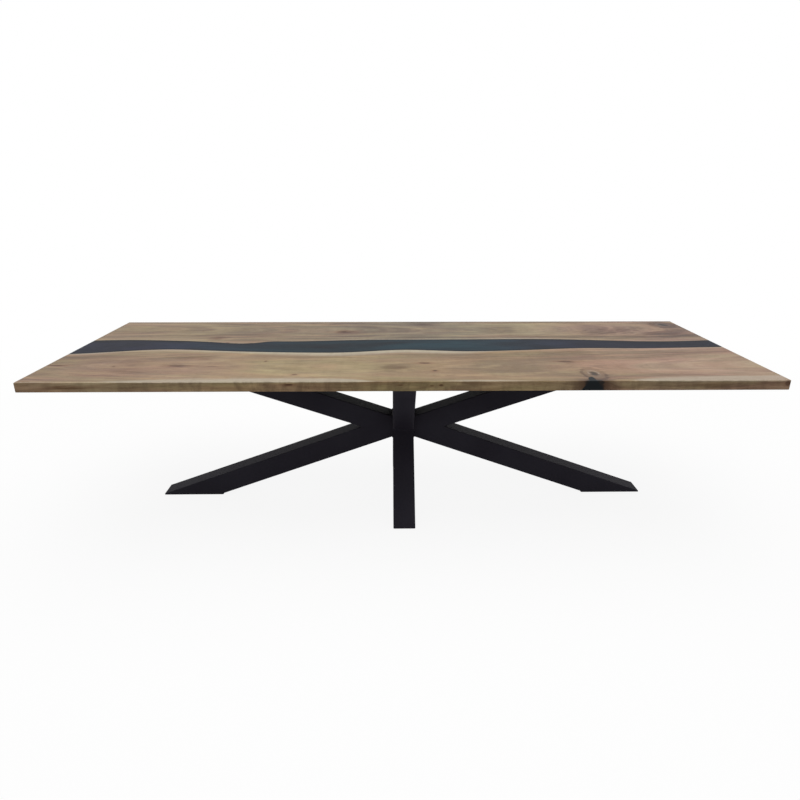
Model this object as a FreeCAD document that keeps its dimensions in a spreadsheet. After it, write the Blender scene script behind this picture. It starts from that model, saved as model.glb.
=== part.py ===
"""Walnut and dark-resin river dining table on a crossed base of square steel tube.

Frame: millimetres, +Z up, +X along the table, -Y towards the long edge with the filled knot,
origin on the floor under the middle of the table.
"""

import FreeCAD, Part
import os
import Sketcher

Vector = FreeCAD.Vector

# Driving dimensions, in millimetres. Each one is a cell of the sheet.
SIZES = {
    # the top
    "table_length": 3000,
    "table_width": 1050,
    "table_height": 760,
    "top_thickness": 40,
    "edge_round": 3,
    "front_bank_lean": 12,
    "rear_bank_lean": 8,
    "knot_along": 726,
    # the tube frames
    "tube_side": 100,
    "tube_wall": 3,
    "tube_inner_round": 2,
    "hub_rise": 10,
    "end_overhang": 300,
    "side_overhang": 150,
    # the mounting plates, which stand out past the tubes that they close
    "plate_thickness": 6,
    "plate_round": 12,
    "plate_hole_inset": 25,
    "side_plate_end_margin": 16,
    "side_plate_side_margin": 110,
    "cross_plate_end_margin": 14,
    "cross_plate_side_margin": 60,
    # the bolts of the plates
    "bolt_diameter": 8,
    "bolt_play": 1,
    "bolt_head": 14,
    "bolt_head_height": 5,
    "bolt_socket": 5,
    "bolt_socket_depth": 3,
    "bolt_setback": 0.6,
    "washer_diameter": 20,
    "washer_thickness": 1.6,
    "insert_wall": 2,
    "insert_length": 18,
    "insert_hole_spare": 2,
    "fit_clearance": 0.05,
    # the channels let into the underside
    "channel_width": 40,
    "channel_height": 20,
    "channel_wall": 3,
    "channel_end_inset": 100,
    "channel_play": 0.5,
    "inner_channel_along": 520,
    "outer_channel_inset": 130,
    "screw_diameter": 5,
    "screw_play": 1,
    "screw_cover": 7,
    "screw_head": 10,
    "screw_head_height": 3.5,
    "inner_screw_across": 200,
    "outer_screw_inset": 65,
    # the levelling feet
    "foot_plate": 4,
    "glide_gap": 1,
    "pad_diameter": 40,
    "pad_floor": 1.2,
    "pad_roof": 1.2,
    "neck_play": 0.5,
    "flange_diameter": 18,
    "flange_height": 2,
    "turning_gap": 0.3,
    "stud_diameter": 10,
    "stud_reach": 35,
    "stud_hex": 13,
    "stud_hex_height": 4,
    "hex_play": 1.5,
    "foot_nut_seat": 3,
    "foot_nut_height": 15,
}

# The natural edges along the river: share of the table's length from its middle, and distance
# from the table's middle line in millimetres. Both run a little past the ends of the table.
FRONT_BANK = [
    (-0.52, -126), (-0.448, -93), (-0.413, -69), (-0.36, -48), (-0.298, -67), (-0.19, -101),
    (-0.13, -110), (-0.085, -106), (-0.036, -79), (0.007, -65), (0.052, -80), (0.1, -93),
    (0.158, -83), (0.206, -67), (0.27, -45), (0.37, -48), (0.44, -39), (0.52, -24),
]
REAR_BANK = [
    (-0.52, 112), (-0.458, 130), (-0.39, 122), (-0.323, 97), (-0.29, 75), (-0.258, 57),
    (-0.232, 72), (-0.215, 93), (-0.19, 96), (-0.14, 103), (-0.07, 121), (0.028, 126),
    (0.133, 129), (0.258, 125), (0.323, 103), (0.42, 79), (0.467, 88), (0.52, 108),
]

# The hole that the knot left in the front edge: distance along the table from the knot's middle
# and inwards from the front face, at the top surface and at the underside.
KNOT_TOP = [(-17, -20), (-13, 18), (-5, 42), (7, 52), (15, 24), (18, -20)]
KNOT_BOTTOM = [(-46, -20), (-40, 18), (-20, 44), (12, 58), (38, 30), (44, -20)]

# Levels that several pieces share, as expressions on the sheet
UNDERSIDE = "(sizes.table_height - sizes.top_thickness)"
TOP_CUT = f"({UNDERSIDE} - sizes.plate_thickness)"
PAD_CAVITY = "(sizes.flange_height + 2 * sizes.turning_gap)"
PAD_HEIGHT = f"(sizes.pad_floor + {PAD_CAVITY} + sizes.pad_roof)"
FOOT_PLATE_LEVEL = f"({PAD_HEIGHT} + sizes.glide_gap)"
FOOT_CUT = f"({FOOT_PLATE_LEVEL} + sizes.foot_plate)"

# The arms meet a little above the crossing of the front-to-back frame
HUB_LEVEL = f"(({FOOT_CUT} + {TOP_CUT}) / 2 + sizes.hub_rise)"

# Sizes that several pieces share
TUBE_ROUND = "(sizes.tube_wall + sizes.tube_inner_round)"
ARM_REACH = "(sizes.table_length / 2 - sizes.end_overhang)"
CROSS_REACH = "(sizes.table_width / 2 - sizes.side_overhang)"
CHANNEL_LENGTH = "(sizes.table_width - 2 * sizes.channel_end_inset)"
FOOT_HOLE = "(sizes.stud_hex / cos(30) + 2 * sizes.hex_play)"
INSERT_DIAMETER = "(sizes.bolt_diameter + 2 * sizes.insert_wall)"
SCREW_DEPTH = "(sizes.top_thickness - sizes.channel_height - sizes.screw_cover)"

doc = FreeCAD.newDocument("river_table")
sheet = doc.addObject("Spreadsheet::Sheet", "sizes")
for row, (alias, size) in enumerate(SIZES.items(), 1):
    sheet.set(f"A{row}", alias)
    sheet.set(f"B{row}", str(size))
    sheet.setAlias(f"B{row}", alias)
doc.recompute()

pieces = []


def number(expression):
    """Return the value of an expression on the sheet as a plain number."""
    return float(sheet.evalExpression(expression))


def keep(piece):
    """Note an object as one of the table's sub-parts and return it."""
    piece.Label = piece.Name
    pieces.append(piece)
    return piece


def bind(target, **expressions):
    """Bind properties of an object to expressions on the sheet."""
    for name, expression in expressions.items():
        target.setExpression(name, expression)
    return target


def place(target, x="0", y="0", z="0"):
    """Bind the position of an object to expressions on the sheet."""
    for axis, expression in zip("xyz", (x, y, z)):
        target.setExpression(f"Placement.Base.{axis}", expression)
    return target


# Sketching

def new_sketch(body, name, role, level=None):
    """Add a sketch on one of the body's own origin planes, raised to a level."""
    sketch = body.newObject("Sketcher::SketchObject", name)
    plane = next(item for item in body.Origin.OriginFeatures if item.Role == role)
    sketch.AttachmentSupport = [(plane, "")]
    sketch.MapMode = "FlatFace"
    if level:
        sketch.setExpression("AttachmentOffset.Base.z", level)
    return sketch


def tie(sketch, expression, kind, *references):
    """Add a dimension to a sketch, bound to an expression."""
    index = sketch.addConstraint(Sketcher.Constraint(kind, *references, number(expression)))
    sketch.setExpression(f"Constraints[{index}]", expression)


def tie_point(sketch, geometry, end, x, y):
    """Tie one point of a sketch to a place measured from the sketch's origin."""
    for expression, kind, axis in ((x, "DistanceX", -2), (y, "DistanceY", -1)):
        if expression == "0":
            sketch.addConstraint(Sketcher.Constraint("PointOnObject", geometry, end, axis))
        else:
            tie(sketch, expression, kind, -1, 1, geometry, end)


def draw_polygon(sketch, corners):
    """Draw a closed run of lines through corners given as numbers and return their numbers."""
    points = [Vector(x, y, 0) for x, y in corners]
    lines = [sketch.addGeometry(Part.LineSegment(start, stop))
             for start, stop in zip(points, points[1:] + points[:1])]
    for line, following in zip(lines, lines[1:] + lines[:1]):
        sketch.addConstraint(Sketcher.Constraint("Coincident", line, 2, following, 1))
    return lines


def tied_polygon(sketch, corners):
    """Draw a closed run of lines whose corners are expressions on the sheet."""
    lines = draw_polygon(sketch, [(number(x), number(y)) for x, y in corners])
    for line, (x, y) in zip(lines, corners):
        tie_point(sketch, line, 1, x, y)


def tied_rectangle(sketch, left, right, near, far):
    """Draw a rectangle between four expressions."""
    tied_polygon(sketch, [(left, near), (right, near), (right, far), (left, far)])


def tied_circles(sketch, centres, diameter):
    """Draw circles of one diameter about centres given as expressions."""
    for x, y in centres:
        circle = Part.Circle(Vector(number(x), number(y), 0), Vector(0, 0, 1), number(diameter) / 2)
        geometry = sketch.addGeometry(circle)
        tie_point(sketch, geometry, 3, x, y)
        tie(sketch, diameter, "Diameter", geometry)


def tied_mark(sketch, x, y):
    """Add a construction point at a place given by expressions and return its number."""
    mark = sketch.addGeometry(Part.Point(Vector(number(x), number(y), 0)), True)
    tie_point(sketch, mark, 1, x, y)
    return mark


def note_cut(sketch, line):
    """Keep the length of an end cut as a reference dimension that other pieces can read."""
    index = sketch.addConstraint(Sketcher.Constraint("Distance", line, 1.0))
    sketch.setDriving(index, False)
    sketch.renameConstraint(index, "cut")


# Features

# A slope under this counts as none
SLIGHT = 0.001

# An edge within this distance of a line, in millimetres, lies on it
NEARBY = 1


def pad(body, sketch, length, symmetric=False):
    """Extrude a sketch, upwards from its plane or evenly to both sides."""
    feature = body.newObject("PartDesign::Pad", f"{sketch.Name}_pad")
    feature.Profile = sketch
    feature.SideType = "Symmetric" if symmetric else "One side"
    bind(feature, Length=length)
    doc.recompute()
    return feature


def pocket(body, sketch, depth):
    """Cut a sketch upwards from its plane and check that it removed material."""
    before = body.Shape.Volume
    feature = body.newObject("PartDesign::Pocket", f"{sketch.Name}_pocket")
    feature.Profile = sketch
    feature.Reversed = True
    bind(feature, Length=depth)
    doc.recompute()
    if not body.Shape.Volume < before:
        raise RuntimeError(f"{feature.Name} cut nothing")
    return feature


def round_edges(body, feature, radius, chosen):
    """Round the edges of a feature that a test chooses."""
    names = [f"Edge{index}" for index, edge in enumerate(feature.Shape.Edges, 1) if chosen(edge)]
    fillet = body.newObject("PartDesign::Fillet", f"{body.Name}_round")
    fillet.Base = (feature, names)
    bind(fillet, Radius=radius)
    doc.recompute()
    return fillet


def runs_along(edge, axis):
    """Tell whether a straight edge runs along an axis given as a unit vector."""
    direction = (edge.Vertexes[-1].Point - edge.Vertexes[0].Point).normalize()
    return direction.cross(axis).Length < SLIGHT


def hollow_tube(body, sketch, side_line):
    """Turn a side view of a tube into a rounded square tube that is open at its end cuts."""
    solid = pad(body, sketch, "sizes.tube_side", symmetric=True)
    line = sketch.Geometry[side_line]
    turn = sketch.Placement.Rotation
    axis = turn.multVec(line.EndPoint - line.StartPoint).normalize()
    rounded = round_edges(body, solid, TUBE_ROUND, lambda edge: runs_along(edge, axis))
    ends = [f"Face{index}" for index, face in enumerate(rounded.Shape.Faces, 1)
            if isinstance(face.Surface, Part.Plane) and abs(face.normalAt(0, 0).dot(axis)) > SLIGHT]
    shell = body.newObject("PartDesign::Thickness", f"{body.Name}_wall")
    shell.Base = (rounded, ends)
    shell.Reversed = True
    bind(shell, Value="sizes.tube_wall")
    doc.recompute()


# The tube frames

# First guesses for corners of the tube frames, in tube widths, which the dimensions then settle
ROUGH_ARM_CUT = 3
ROUGH_CROTCH = 2
ROUGH_CROSS_CUT = 1.3
ROUGH_BUTT = 0.8


def draw_arm(sketch, end, other_end):
    """Draw the side view of the right-hand arm that ends at one level.

    Its end is cut level at the arm's reach, it butts on the side of the cross frame, and it is
    mitred to the other arm from the middle of that butt to the crotch between the two. The corners
    are drawn near their places, and the dimensions then settle them.
    """
    reach = number(ARM_REACH)
    side = number("sizes.tube_side")
    hub = number(HUB_LEVEL)
    level = number(end)
    outward = side / 2 if level > hub else -side / 2
    crotch = ROUGH_CROTCH * side
    lines = draw_polygon(sketch, [(reach, level), (reach - ROUGH_ARM_CUT * side, level),
                                  (side / 2, hub + outward), (side / 2, hub), (crotch, hub)])
    end_cut, outer_side, butt, mitre, inner_side = lines
    tie_point(sketch, end_cut, 1, ARM_REACH, end)
    tie_point(sketch, mitre, 1, "sizes.tube_side / 2", HUB_LEVEL)
    sketch.addConstraint(Sketcher.Constraint("Horizontal", end_cut))
    sketch.addConstraint(Sketcher.Constraint("Vertical", butt))
    sketch.addConstraint(Sketcher.Constraint("Parallel", outer_side, inner_side))
    other_tip = Vector(reach, number(other_end), 0)
    other_side = sketch.addGeometry(Part.LineSegment(Vector(crotch, hub, 0), other_tip), True)
    sketch.addConstraint(Sketcher.Constraint("Coincident", other_side, 1, inner_side, 1))
    tie_point(sketch, other_side, 2, ARM_REACH, other_end)
    for line in (outer_side, inner_side, other_side):
        tie(sketch, "sizes.tube_side / 2", "Distance", mitre, 1, line)
    note_cut(sketch, end_cut)
    return outer_side


def make_arm(name, end, other_end, turned):
    """Make one arm of the long frame, turned half round for the left-hand side."""
    body = doc.addObject("PartDesign::Body", name)
    sketch = new_sketch(body, f"{name}_outline", "XZ_Plane")
    side_line = draw_arm(sketch, end, other_end)
    doc.recompute()
    hollow_tube(body, sketch, side_line)
    if turned:
        body.Placement.Rotation = FreeCAD.Rotation(Vector(0, 0, 1), 180)
    return keep(body)


def make_cross_tube():
    """Make the whole diagonal of the cross frame, from the front foot to the rear top."""
    body = doc.addObject("PartDesign::Body", "cross_tube")
    sketch = new_sketch(body, "cross_tube_outline", "YZ_Plane")
    reach = number(CROSS_REACH)
    near_cut = ROUGH_CROSS_CUT * number("sizes.tube_side")
    low = number(FOOT_CUT)
    high = number(TOP_CUT)
    lines = draw_polygon(sketch, [(-reach, low), (near_cut - reach, low),
                                  (reach, high), (reach - near_cut, high)])
    foot_cut, rear_side, top_cut, front_side = lines
    tie_point(sketch, foot_cut, 1, f"-{CROSS_REACH}", FOOT_CUT)
    tie_point(sketch, top_cut, 1, CROSS_REACH, TOP_CUT)
    for line in (foot_cut, top_cut):
        sketch.addConstraint(Sketcher.Constraint("Horizontal", line))
    sketch.addConstraint(Sketcher.Constraint("Parallel", rear_side, front_side))
    tie(sketch, "sizes.tube_side", "Distance", foot_cut, 1, rear_side)
    note_cut(sketch, foot_cut)
    doc.recompute()
    hollow_tube(body, sketch, rear_side)
    return keep(body)


def make_cross_half(name, toward, end, other_end):
    """Make one half of the other diagonal, which is cut to lie on the whole one.

    toward is -1 for the half that runs to the front and 1 for the half that runs to the rear.
    """
    body = doc.addObject("PartDesign::Body", name)
    sketch = new_sketch(body, f"{name}_outline", "YZ_Plane")
    near = f"{toward} * {CROSS_REACH}"
    far = f"{-toward} * {CROSS_REACH}"
    side = number("sizes.tube_side")
    level = number(end)
    middle = (level + number(other_end)) / 2
    rise = ROUGH_BUTT * side if level > middle else -ROUGH_BUTT * side
    tip = number(near)
    lines = draw_polygon(sketch, [(tip, level), (tip - ROUGH_CROSS_CUT * side * toward, level),
                                  (0, middle + rise), (ROUGH_BUTT * side * toward, middle)])
    end_cut, inner_side, butt, outer_side = lines
    tie_point(sketch, end_cut, 1, near, end)
    sketch.addConstraint(Sketcher.Constraint("Horizontal", end_cut))
    sketch.addConstraint(Sketcher.Constraint("Parallel", inner_side, outer_side))
    tie(sketch, "sizes.tube_side", "Distance", end_cut, 1, inner_side)
    own_far_tip = tied_mark(sketch, far, other_end)
    whole_near_tip = tied_mark(sketch, near, other_end)
    whole_far_tip = tied_mark(sketch, far, end)
    sketch.addConstraint(Sketcher.Constraint("PointOnObject", own_far_tip, 1, inner_side))
    sketch.addConstraint(Sketcher.Constraint("PointOnObject", whole_near_tip, 1, butt))
    tie(sketch, "sizes.tube_side", "Distance", whole_far_tip, 1, butt)
    doc.recompute()
    hollow_tube(body, sketch, inner_side)
    return keep(body)


make_cross_tube()
make_cross_half("cross_front_upper_tube", -1, TOP_CUT, FOOT_CUT)
make_cross_half("cross_rear_lower_tube", 1, FOOT_CUT, TOP_CUT)
for hand, turned in (("right", False), ("left", True)):
    make_arm(f"{hand}_upper_arm", TOP_CUT, FOOT_CUT, turned)
    make_arm(f"{hand}_lower_arm", FOOT_CUT, TOP_CUT, turned)

# The middles of the end cuts, where plates and feet go
UPPER_ARM_CUT = "(right_upper_arm_outline.Constraints.cut / 1 mm)"
LOWER_ARM_CUT = "(right_lower_arm_outline.Constraints.cut / 1 mm)"
CROSS_CUT = "(cross_tube_outline.Constraints.cut / 1 mm)"
SIDE_PLATE_ALONG = f"({ARM_REACH} - {UPPER_ARM_CUT} / 2)"
SIDE_FOOT_ALONG = f"({ARM_REACH} - {LOWER_ARM_CUT} / 2)"
CROSS_ACROSS = f"({CROSS_REACH} - {CROSS_CUT} / 2)"

# Where each plate and each foot stands: along and across the table
PLATE_CENTRES = {
    "left": (f"-{SIDE_PLATE_ALONG}", "0"),
    "right": (SIDE_PLATE_ALONG, "0"),
    "front": ("0", f"-{CROSS_ACROSS}"),
    "rear": ("0", CROSS_ACROSS),
}
FOOT_CENTRES = {
    "left": (f"-{SIDE_FOOT_ALONG}", "0"),
    "right": (SIDE_FOOT_ALONG, "0"),
    "front": ("0", f"-{CROSS_ACROSS}"),
    "rear": ("0", CROSS_ACROSS),
}
LONG_SIDES = ("left", "right")


# The mounting plates

def plate_size(place_name):
    """Return a mounting plate's length along the table and width across it."""
    if place_name in LONG_SIDES:
        return (f"({UPPER_ARM_CUT} + 2 * sizes.side_plate_end_margin)",
                "(sizes.tube_side + 2 * sizes.side_plate_side_margin)")
    return ("(sizes.tube_side + 2 * sizes.cross_plate_side_margin)",
            f"({CROSS_CUT} + 2 * sizes.cross_plate_end_margin)")


def plate_holes(place_name):
    """Return the four hole centres of a plate, measured from the plate's own middle."""
    length, width = plate_size(place_name)
    along = f"({length} / 2 - sizes.plate_hole_inset)"
    across = f"({width} / 2 - sizes.plate_hole_inset)"
    return [(f"{x_sign}{along}", f"{y_sign}{across}") for x_sign in ("-", "") for y_sign in ("-", "")]


def bolt_centres(place_name):
    """Return the hole centres of a plate, measured from the middle of the table."""
    x, y = PLATE_CENTRES[place_name]
    return [(f"{x} + {along}", f"{y} + {across}") for along, across in plate_holes(place_name)]


def make_plate(name, centre, level, length, width, thickness, holes, hole, corner):
    """Make a flat plate with round corners and round holes."""
    body = doc.addObject("PartDesign::Body", name)
    sketch = new_sketch(body, f"{name}_outline", "XY_Plane")
    tied_rectangle(sketch, f"-{length} / 2", f"{length} / 2", f"-{width} / 2", f"{width} / 2")
    solid = pad(body, sketch, thickness)
    round_edges(body, solid, corner, lambda edge: runs_along(edge, Vector(0, 0, 1)))
    drilling = new_sketch(body, f"{name}_holes", "XY_Plane")
    tied_circles(drilling, holes, hole)
    pocket(body, drilling, thickness)
    place(body, *centre, level)
    return keep(body)


for name, centre in PLATE_CENTRES.items():
    make_plate(f"{name}_mounting_plate", centre, TOP_CUT, *plate_size(name), "sizes.plate_thickness",
               plate_holes(name), "sizes.bolt_diameter + 2 * sizes.bolt_play", "sizes.plate_round")


# The levelling feet

def cylinder(name, diameter, height, level="0"):
    """Make a round bar about the vertical axis."""
    bar = doc.addObject("Part::Cylinder", name)
    bind(bar, Radius=f"({diameter}) / 2", Height=height)
    return place(bar, z=level)


def hexagon(name, across_flats, height, level="0"):
    """Make a hexagonal bar about the vertical axis."""
    bar = doc.addObject("Part::Prism", name)
    bar.Polygon = 6
    bind(bar, Circumradius=f"({across_flats}) / 2 / cos(30)", Height=height)
    return place(bar, z=level)


def fused(name, *shapes):
    """Join shapes into one solid."""
    joined = doc.addObject("Part::MultiFuse", name)
    joined.Shapes = list(shapes)
    return joined


def cut(name, base, tool):
    """Cut one shape out of another."""
    result = doc.addObject("Part::Cut", name)
    result.Base = base
    result.Tool = tool
    return result


# Levels in a foot: the flange turns in a cavity inside the pad, the hexagon stands just above the pad
FLANGE_LEVEL = "(sizes.pad_floor + sizes.turning_gap)"
HEX_LEVEL = f"({PAD_HEIGHT} + sizes.turning_gap)"


def make_pad(name, centre):
    """Make the round pad, moulded around the stud's flange."""
    disc = cylinder(f"{name}_disc", "sizes.pad_diameter", PAD_HEIGHT)
    cavity = cylinder(f"{name}_cavity", "sizes.flange_diameter + 2 * sizes.turning_gap", PAD_CAVITY,
                      "sizes.pad_floor")
    neck = cylinder(f"{name}_neck", "sizes.stud_diameter + 2 * sizes.neck_play", PAD_HEIGHT, FLANGE_LEVEL)
    pad_shape = cut(name, disc, fused(f"{name}_room", cavity, neck))
    return keep(place(pad_shape, *centre))


def make_stud(name, centre):
    """Make the threaded stud with its flange in the pad and a hexagon to turn it by."""
    flange = cylinder(f"{name}_flange", "sizes.flange_diameter", "sizes.flange_height", FLANGE_LEVEL)
    spanner_flats = hexagon(f"{name}_hex", "sizes.stud_hex", "sizes.stud_hex_height", HEX_LEVEL)
    rod_length = f"{FOOT_CUT} + sizes.stud_reach - {FLANGE_LEVEL}"
    rod = cylinder(f"{name}_rod", "sizes.stud_diameter", rod_length, FLANGE_LEVEL)
    return keep(place(fused(name, flange, spanner_flats, rod), *centre))


def make_foot_nut(name, centre):
    """Make the nut that is welded inside the tube and carries the stud."""
    block = hexagon(f"{name}_block", f"{FOOT_HOLE} + 2 * sizes.foot_nut_seat", "sizes.foot_nut_height")
    bore = cylinder(f"{name}_bore", "sizes.stud_diameter + 2 * sizes.fit_clearance", "sizes.foot_nut_height")
    return keep(place(cut(name, block, bore), *centre, FOOT_CUT))


def foot_size(place_name):
    """Return a foot plate's length along the table and width across it."""
    if place_name in LONG_SIDES:
        return LOWER_ARM_CUT, "sizes.tube_side"
    return "sizes.tube_side", CROSS_CUT


for name, centre in FOOT_CENTRES.items():
    make_plate(f"{name}_foot_plate", centre, FOOT_PLATE_LEVEL, *foot_size(name), "sizes.foot_plate",
               [("0", "0")], FOOT_HOLE, TUBE_ROUND)
    make_foot_nut(f"{name}_foot_nut", centre)
    make_stud(f"{name}_glide_stud", centre)
    make_pad(f"{name}_glide_pad", centre)


# The channels under the top

OUTER_CHANNEL = "(sizes.table_length / 2 - sizes.outer_channel_inset)"
CHANNEL_PLACES = {
    "outer_left": f"-{OUTER_CHANNEL}",
    "inner_left": "-sizes.inner_channel_along",
    "inner_right": "sizes.inner_channel_along",
    "outer_right": OUTER_CHANNEL,
}
OUTER_SCREW = f"({CHANNEL_LENGTH} / 2 - sizes.outer_screw_inset)"
SCREWS_ACROSS = (f"-{OUTER_SCREW}", "-sizes.inner_screw_across", "sizes.inner_screw_across", OUTER_SCREW)


def make_channel(name, along):
    """Make a steel channel whose web lies on the floor of its groove and whose flanges point down."""
    body = doc.addObject("PartDesign::Body", name)
    sketch = new_sketch(body, f"{name}_section", "XZ_Plane")
    outside = "sizes.channel_width / 2"
    inside = "(sizes.channel_width / 2 - sizes.channel_wall)"
    web = "(sizes.channel_height - sizes.channel_wall)"
    tied_polygon(sketch, [(f"-{outside}", "0"), (f"-{inside}", "0"), (f"-{inside}", web), (inside, web),
                          (inside, "0"), (outside, "0"), (outside, "sizes.channel_height"),
                          (f"-{outside}", "sizes.channel_height")])
    pad(body, sketch, CHANNEL_LENGTH, symmetric=True)
    drilling = new_sketch(body, f"{name}_holes", "XY_Plane")
    tied_circles(drilling, [("0", across) for across in SCREWS_ACROSS],
                 "sizes.screw_diameter + 2 * sizes.screw_play")
    pocket(body, drilling, "sizes.channel_height")
    place(body, along, "0", UNDERSIDE)
    return keep(body)


for name, along in CHANNEL_PLACES.items():
    make_channel(f"{name}_channel", along)


# The top

ALL_BOLTS = [centre for name in PLATE_CENTRES for centre in bolt_centres(name)]
ALL_SCREWS = [(along, across) for along in CHANNEL_PLACES.values() for across in SCREWS_ACROSS]
WEB_LEVEL = f"({UNDERSIDE} + sizes.channel_height - sizes.channel_wall)"
FRONT_FACE = "-sizes.table_width / 2"
REAR_FACE = "sizes.table_width / 2"

# The river stays within this distance of the middle line
MIDDLE_BAND = "sizes.table_width / 4"

# The cut along a bank runs past both faces of the top by this share of the thickness
OVERRUN = 0.5


def bank_curve(bank, shift):
    """Return the smooth curve of a bank, moved across the table by a number of millimetres."""
    length = number("sizes.table_length")
    curve = Part.BSplineCurve()
    curve.interpolate([Vector(share * length, across + shift, 0) for share, across in bank])
    return curve


def draw_bank(sketch, bank, shift, far):
    """Draw the ground on one side of a bank, out to a line along the table."""
    curve = bank_curve(bank, shift)
    spline = sketch.addGeometry(curve)
    far_ends = [(f"{share} * sizes.table_length", far) for share in (bank[0][0], bank[-1][0])]
    far_points = [Vector(number(x), number(y), 0) for x, y in far_ends]
    corners = [curve.StartPoint, *far_points, curve.EndPoint]
    left, along, right = [sketch.addGeometry(Part.LineSegment(a, b)) for a, b in zip(corners, corners[1:])]
    for first, first_end, second, second_end in ((spline, 1, left, 1), (left, 2, along, 1),
                                                 (along, 2, right, 1), (right, 2, spline, 2)):
        sketch.addConstraint(Sketcher.Constraint("Coincident", first, first_end, second, second_end))
    tie_point(sketch, along, 1, *far_ends[0])
    tie_point(sketch, along, 2, *far_ends[1])


def cut_bank(body, name, bank, lean, far):
    """Cut away the ground on one side of a bank that leans across by a distance from top to bottom."""
    before = body.Shape.Volume
    overrun = f"{OVERRUN} * sizes.top_thickness"
    over = new_sketch(body, f"{name}_over", "XY_Plane", f"sizes.table_height + {overrun}")
    draw_bank(over, bank, -OVERRUN * number(lean), far)
    under = new_sketch(body, f"{name}_under", "XY_Plane", f"{UNDERSIDE} - {overrun}")
    draw_bank(under, bank, (1 + OVERRUN) * number(lean), far)
    loft = body.newObject("PartDesign::SubtractiveLoft", f"{name}_bank")
    loft.Profile = over
    loft.Sections = [under]
    loft.Ruled = True
    doc.recompute()
    if not body.Shape.Volume < before:
        raise RuntimeError(f"{loft.Name} cut nothing")


def make_board(name, near, far, chosen):
    """Make a board the length of the table between two lines along it, with chosen edges rounded."""
    body = doc.addObject("PartDesign::Body", name)
    sketch = new_sketch(body, f"{name}_outline", "XY_Plane", UNDERSIDE)
    tied_rectangle(sketch, "-sizes.table_length / 2", "sizes.table_length / 2", near, far)
    board = pad(body, sketch, "sizes.top_thickness")
    round_edges(body, board, "sizes.edge_round", chosen)
    return body


def group(name, pattern, centres, level):
    """Copy a shape to every centre, as separate solids of one object."""
    doc.recompute()
    copies = []
    for x, y in centres:
        copy = pattern.Shape.copy()
        copy.translate(Vector(number(x), number(y), number(level)))
        copies.append(copy)
    node = doc.addObject("Part::Feature", name)
    node.Shape = Part.makeCompound(copies)
    return node


def make_drillings():
    """Make all that is cut into the underside: grooves, holes for the inserts and pilot holes."""
    half_width = "(sizes.channel_width / 2 + sizes.channel_play)"
    half_length = f"({CHANNEL_LENGTH} / 2 + sizes.channel_play)"
    groove = doc.addObject("Part::Box", "groove_pattern")
    bind(groove, Length=f"2 * {half_width}", Width=f"2 * {half_length}", Height="sizes.channel_height")
    place(groove, f"-{half_width}", f"-{half_length}")
    insert_hole = cylinder("insert_hole_pattern", f"{INSERT_DIAMETER} + 2 * sizes.fit_clearance",
                           "sizes.insert_length + sizes.insert_hole_spare")
    pilot = cylinder("pilot_pattern", "sizes.screw_diameter + 2 * sizes.fit_clearance",
                     f"sizes.channel_wall + {SCREW_DEPTH} + sizes.fit_clearance")
    grooves = group("grooves", groove, [(along, "0") for along in CHANNEL_PLACES.values()], UNDERSIDE)
    insert_holes = group("insert_holes", insert_hole, ALL_BOLTS, UNDERSIDE)
    pilots = group("pilot_holes", pilot, ALL_SCREWS, WEB_LEVEL)
    return fused("drillings", grooves, insert_holes, pilots)


def make_front_board():
    """Make the front board with its natural edge."""
    inner = f"{MIDDLE_BAND} / 2"
    limit = number(inner) - NEARBY
    body = make_board("front_board", FRONT_FACE, inner, lambda edge: edge.CenterOfMass.y < limit)
    cut_bank(body, "front_board", FRONT_BANK, "sizes.front_bank_lean", MIDDLE_BAND)
    return body


def make_rear_board():
    """Make the rear board with its natural edge."""
    inner = f"-{MIDDLE_BAND} / 2"
    limit = number(inner) + NEARBY
    body = make_board("rear_board", inner, REAR_FACE, lambda edge: edge.CenterOfMass.y > limit)
    cut_bank(body, "rear_board", REAR_BANK, "-sizes.rear_bank_lean", f"-{MIDDLE_BAND}")
    return body


def make_river_board():
    """Make the resin between the two banks."""
    body = make_board("river_board", f"-{MIDDLE_BAND}", MIDDLE_BAND,
                      lambda edge: runs_along(edge, Vector(0, 1, 0)))
    cut_bank(body, "river_front", FRONT_BANK, "sizes.front_bank_lean", "-sizes.table_width")
    cut_bank(body, "river_rear", REAR_BANK, "-sizes.rear_bank_lean", "sizes.table_width")
    return body


def knot_wire(outline, level):
    """Return the closed outline of the knot hole at a level."""
    along = number("sizes.knot_along")
    front = number(FRONT_FACE)
    curve = Part.BSplineCurve()
    curve.interpolate([Vector(along + x, front + y, level) for x, y in outline])
    mouth = Part.LineSegment(curve.EndPoint, curve.StartPoint)
    return Part.Wire([curve.toShape(), mouth.toShape()])


def make_knot_core():
    """Make the shape of the knot hole, which narrows towards the top surface."""
    core = doc.addObject("Part::Feature", "knot_core")
    wires = [knot_wire(KNOT_BOTTOM, number(UNDERSIDE)), knot_wire(KNOT_TOP, number("sizes.table_height"))]
    core.Shape = Part.makeLoft(wires, True, True)
    return core


def make_knot_fill(core):
    """Make the resin in the knot hole, flush with the front board and with its rounded edges."""
    blank = make_board("knot_blank", FRONT_FACE, "0", lambda edge: edge.CenterOfMass.y < -NEARBY)
    fill = doc.addObject("Part::Common", "knot_fill")
    fill.Base = blank
    fill.Tool = core
    return fill


drillings = make_drillings()
knot_core = make_knot_core()
keep(cut("front_slab", cut("front_drilled", make_front_board(), drillings), knot_core))
keep(make_knot_fill(knot_core))
keep(cut("rear_slab", make_rear_board(), drillings))
keep(cut("resin_river", make_river_board(), drillings))


# Fasteners, each kind a group of separate solids in one node

WASHER_LEVEL = f"({TOP_CUT} - sizes.washer_thickness)"
BOLT_LENGTH = "(sizes.washer_thickness + sizes.plate_thickness + sizes.insert_length - sizes.bolt_setback)"
BOLT_BORE = "(sizes.bolt_diameter + 2 * sizes.fit_clearance)"


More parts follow.
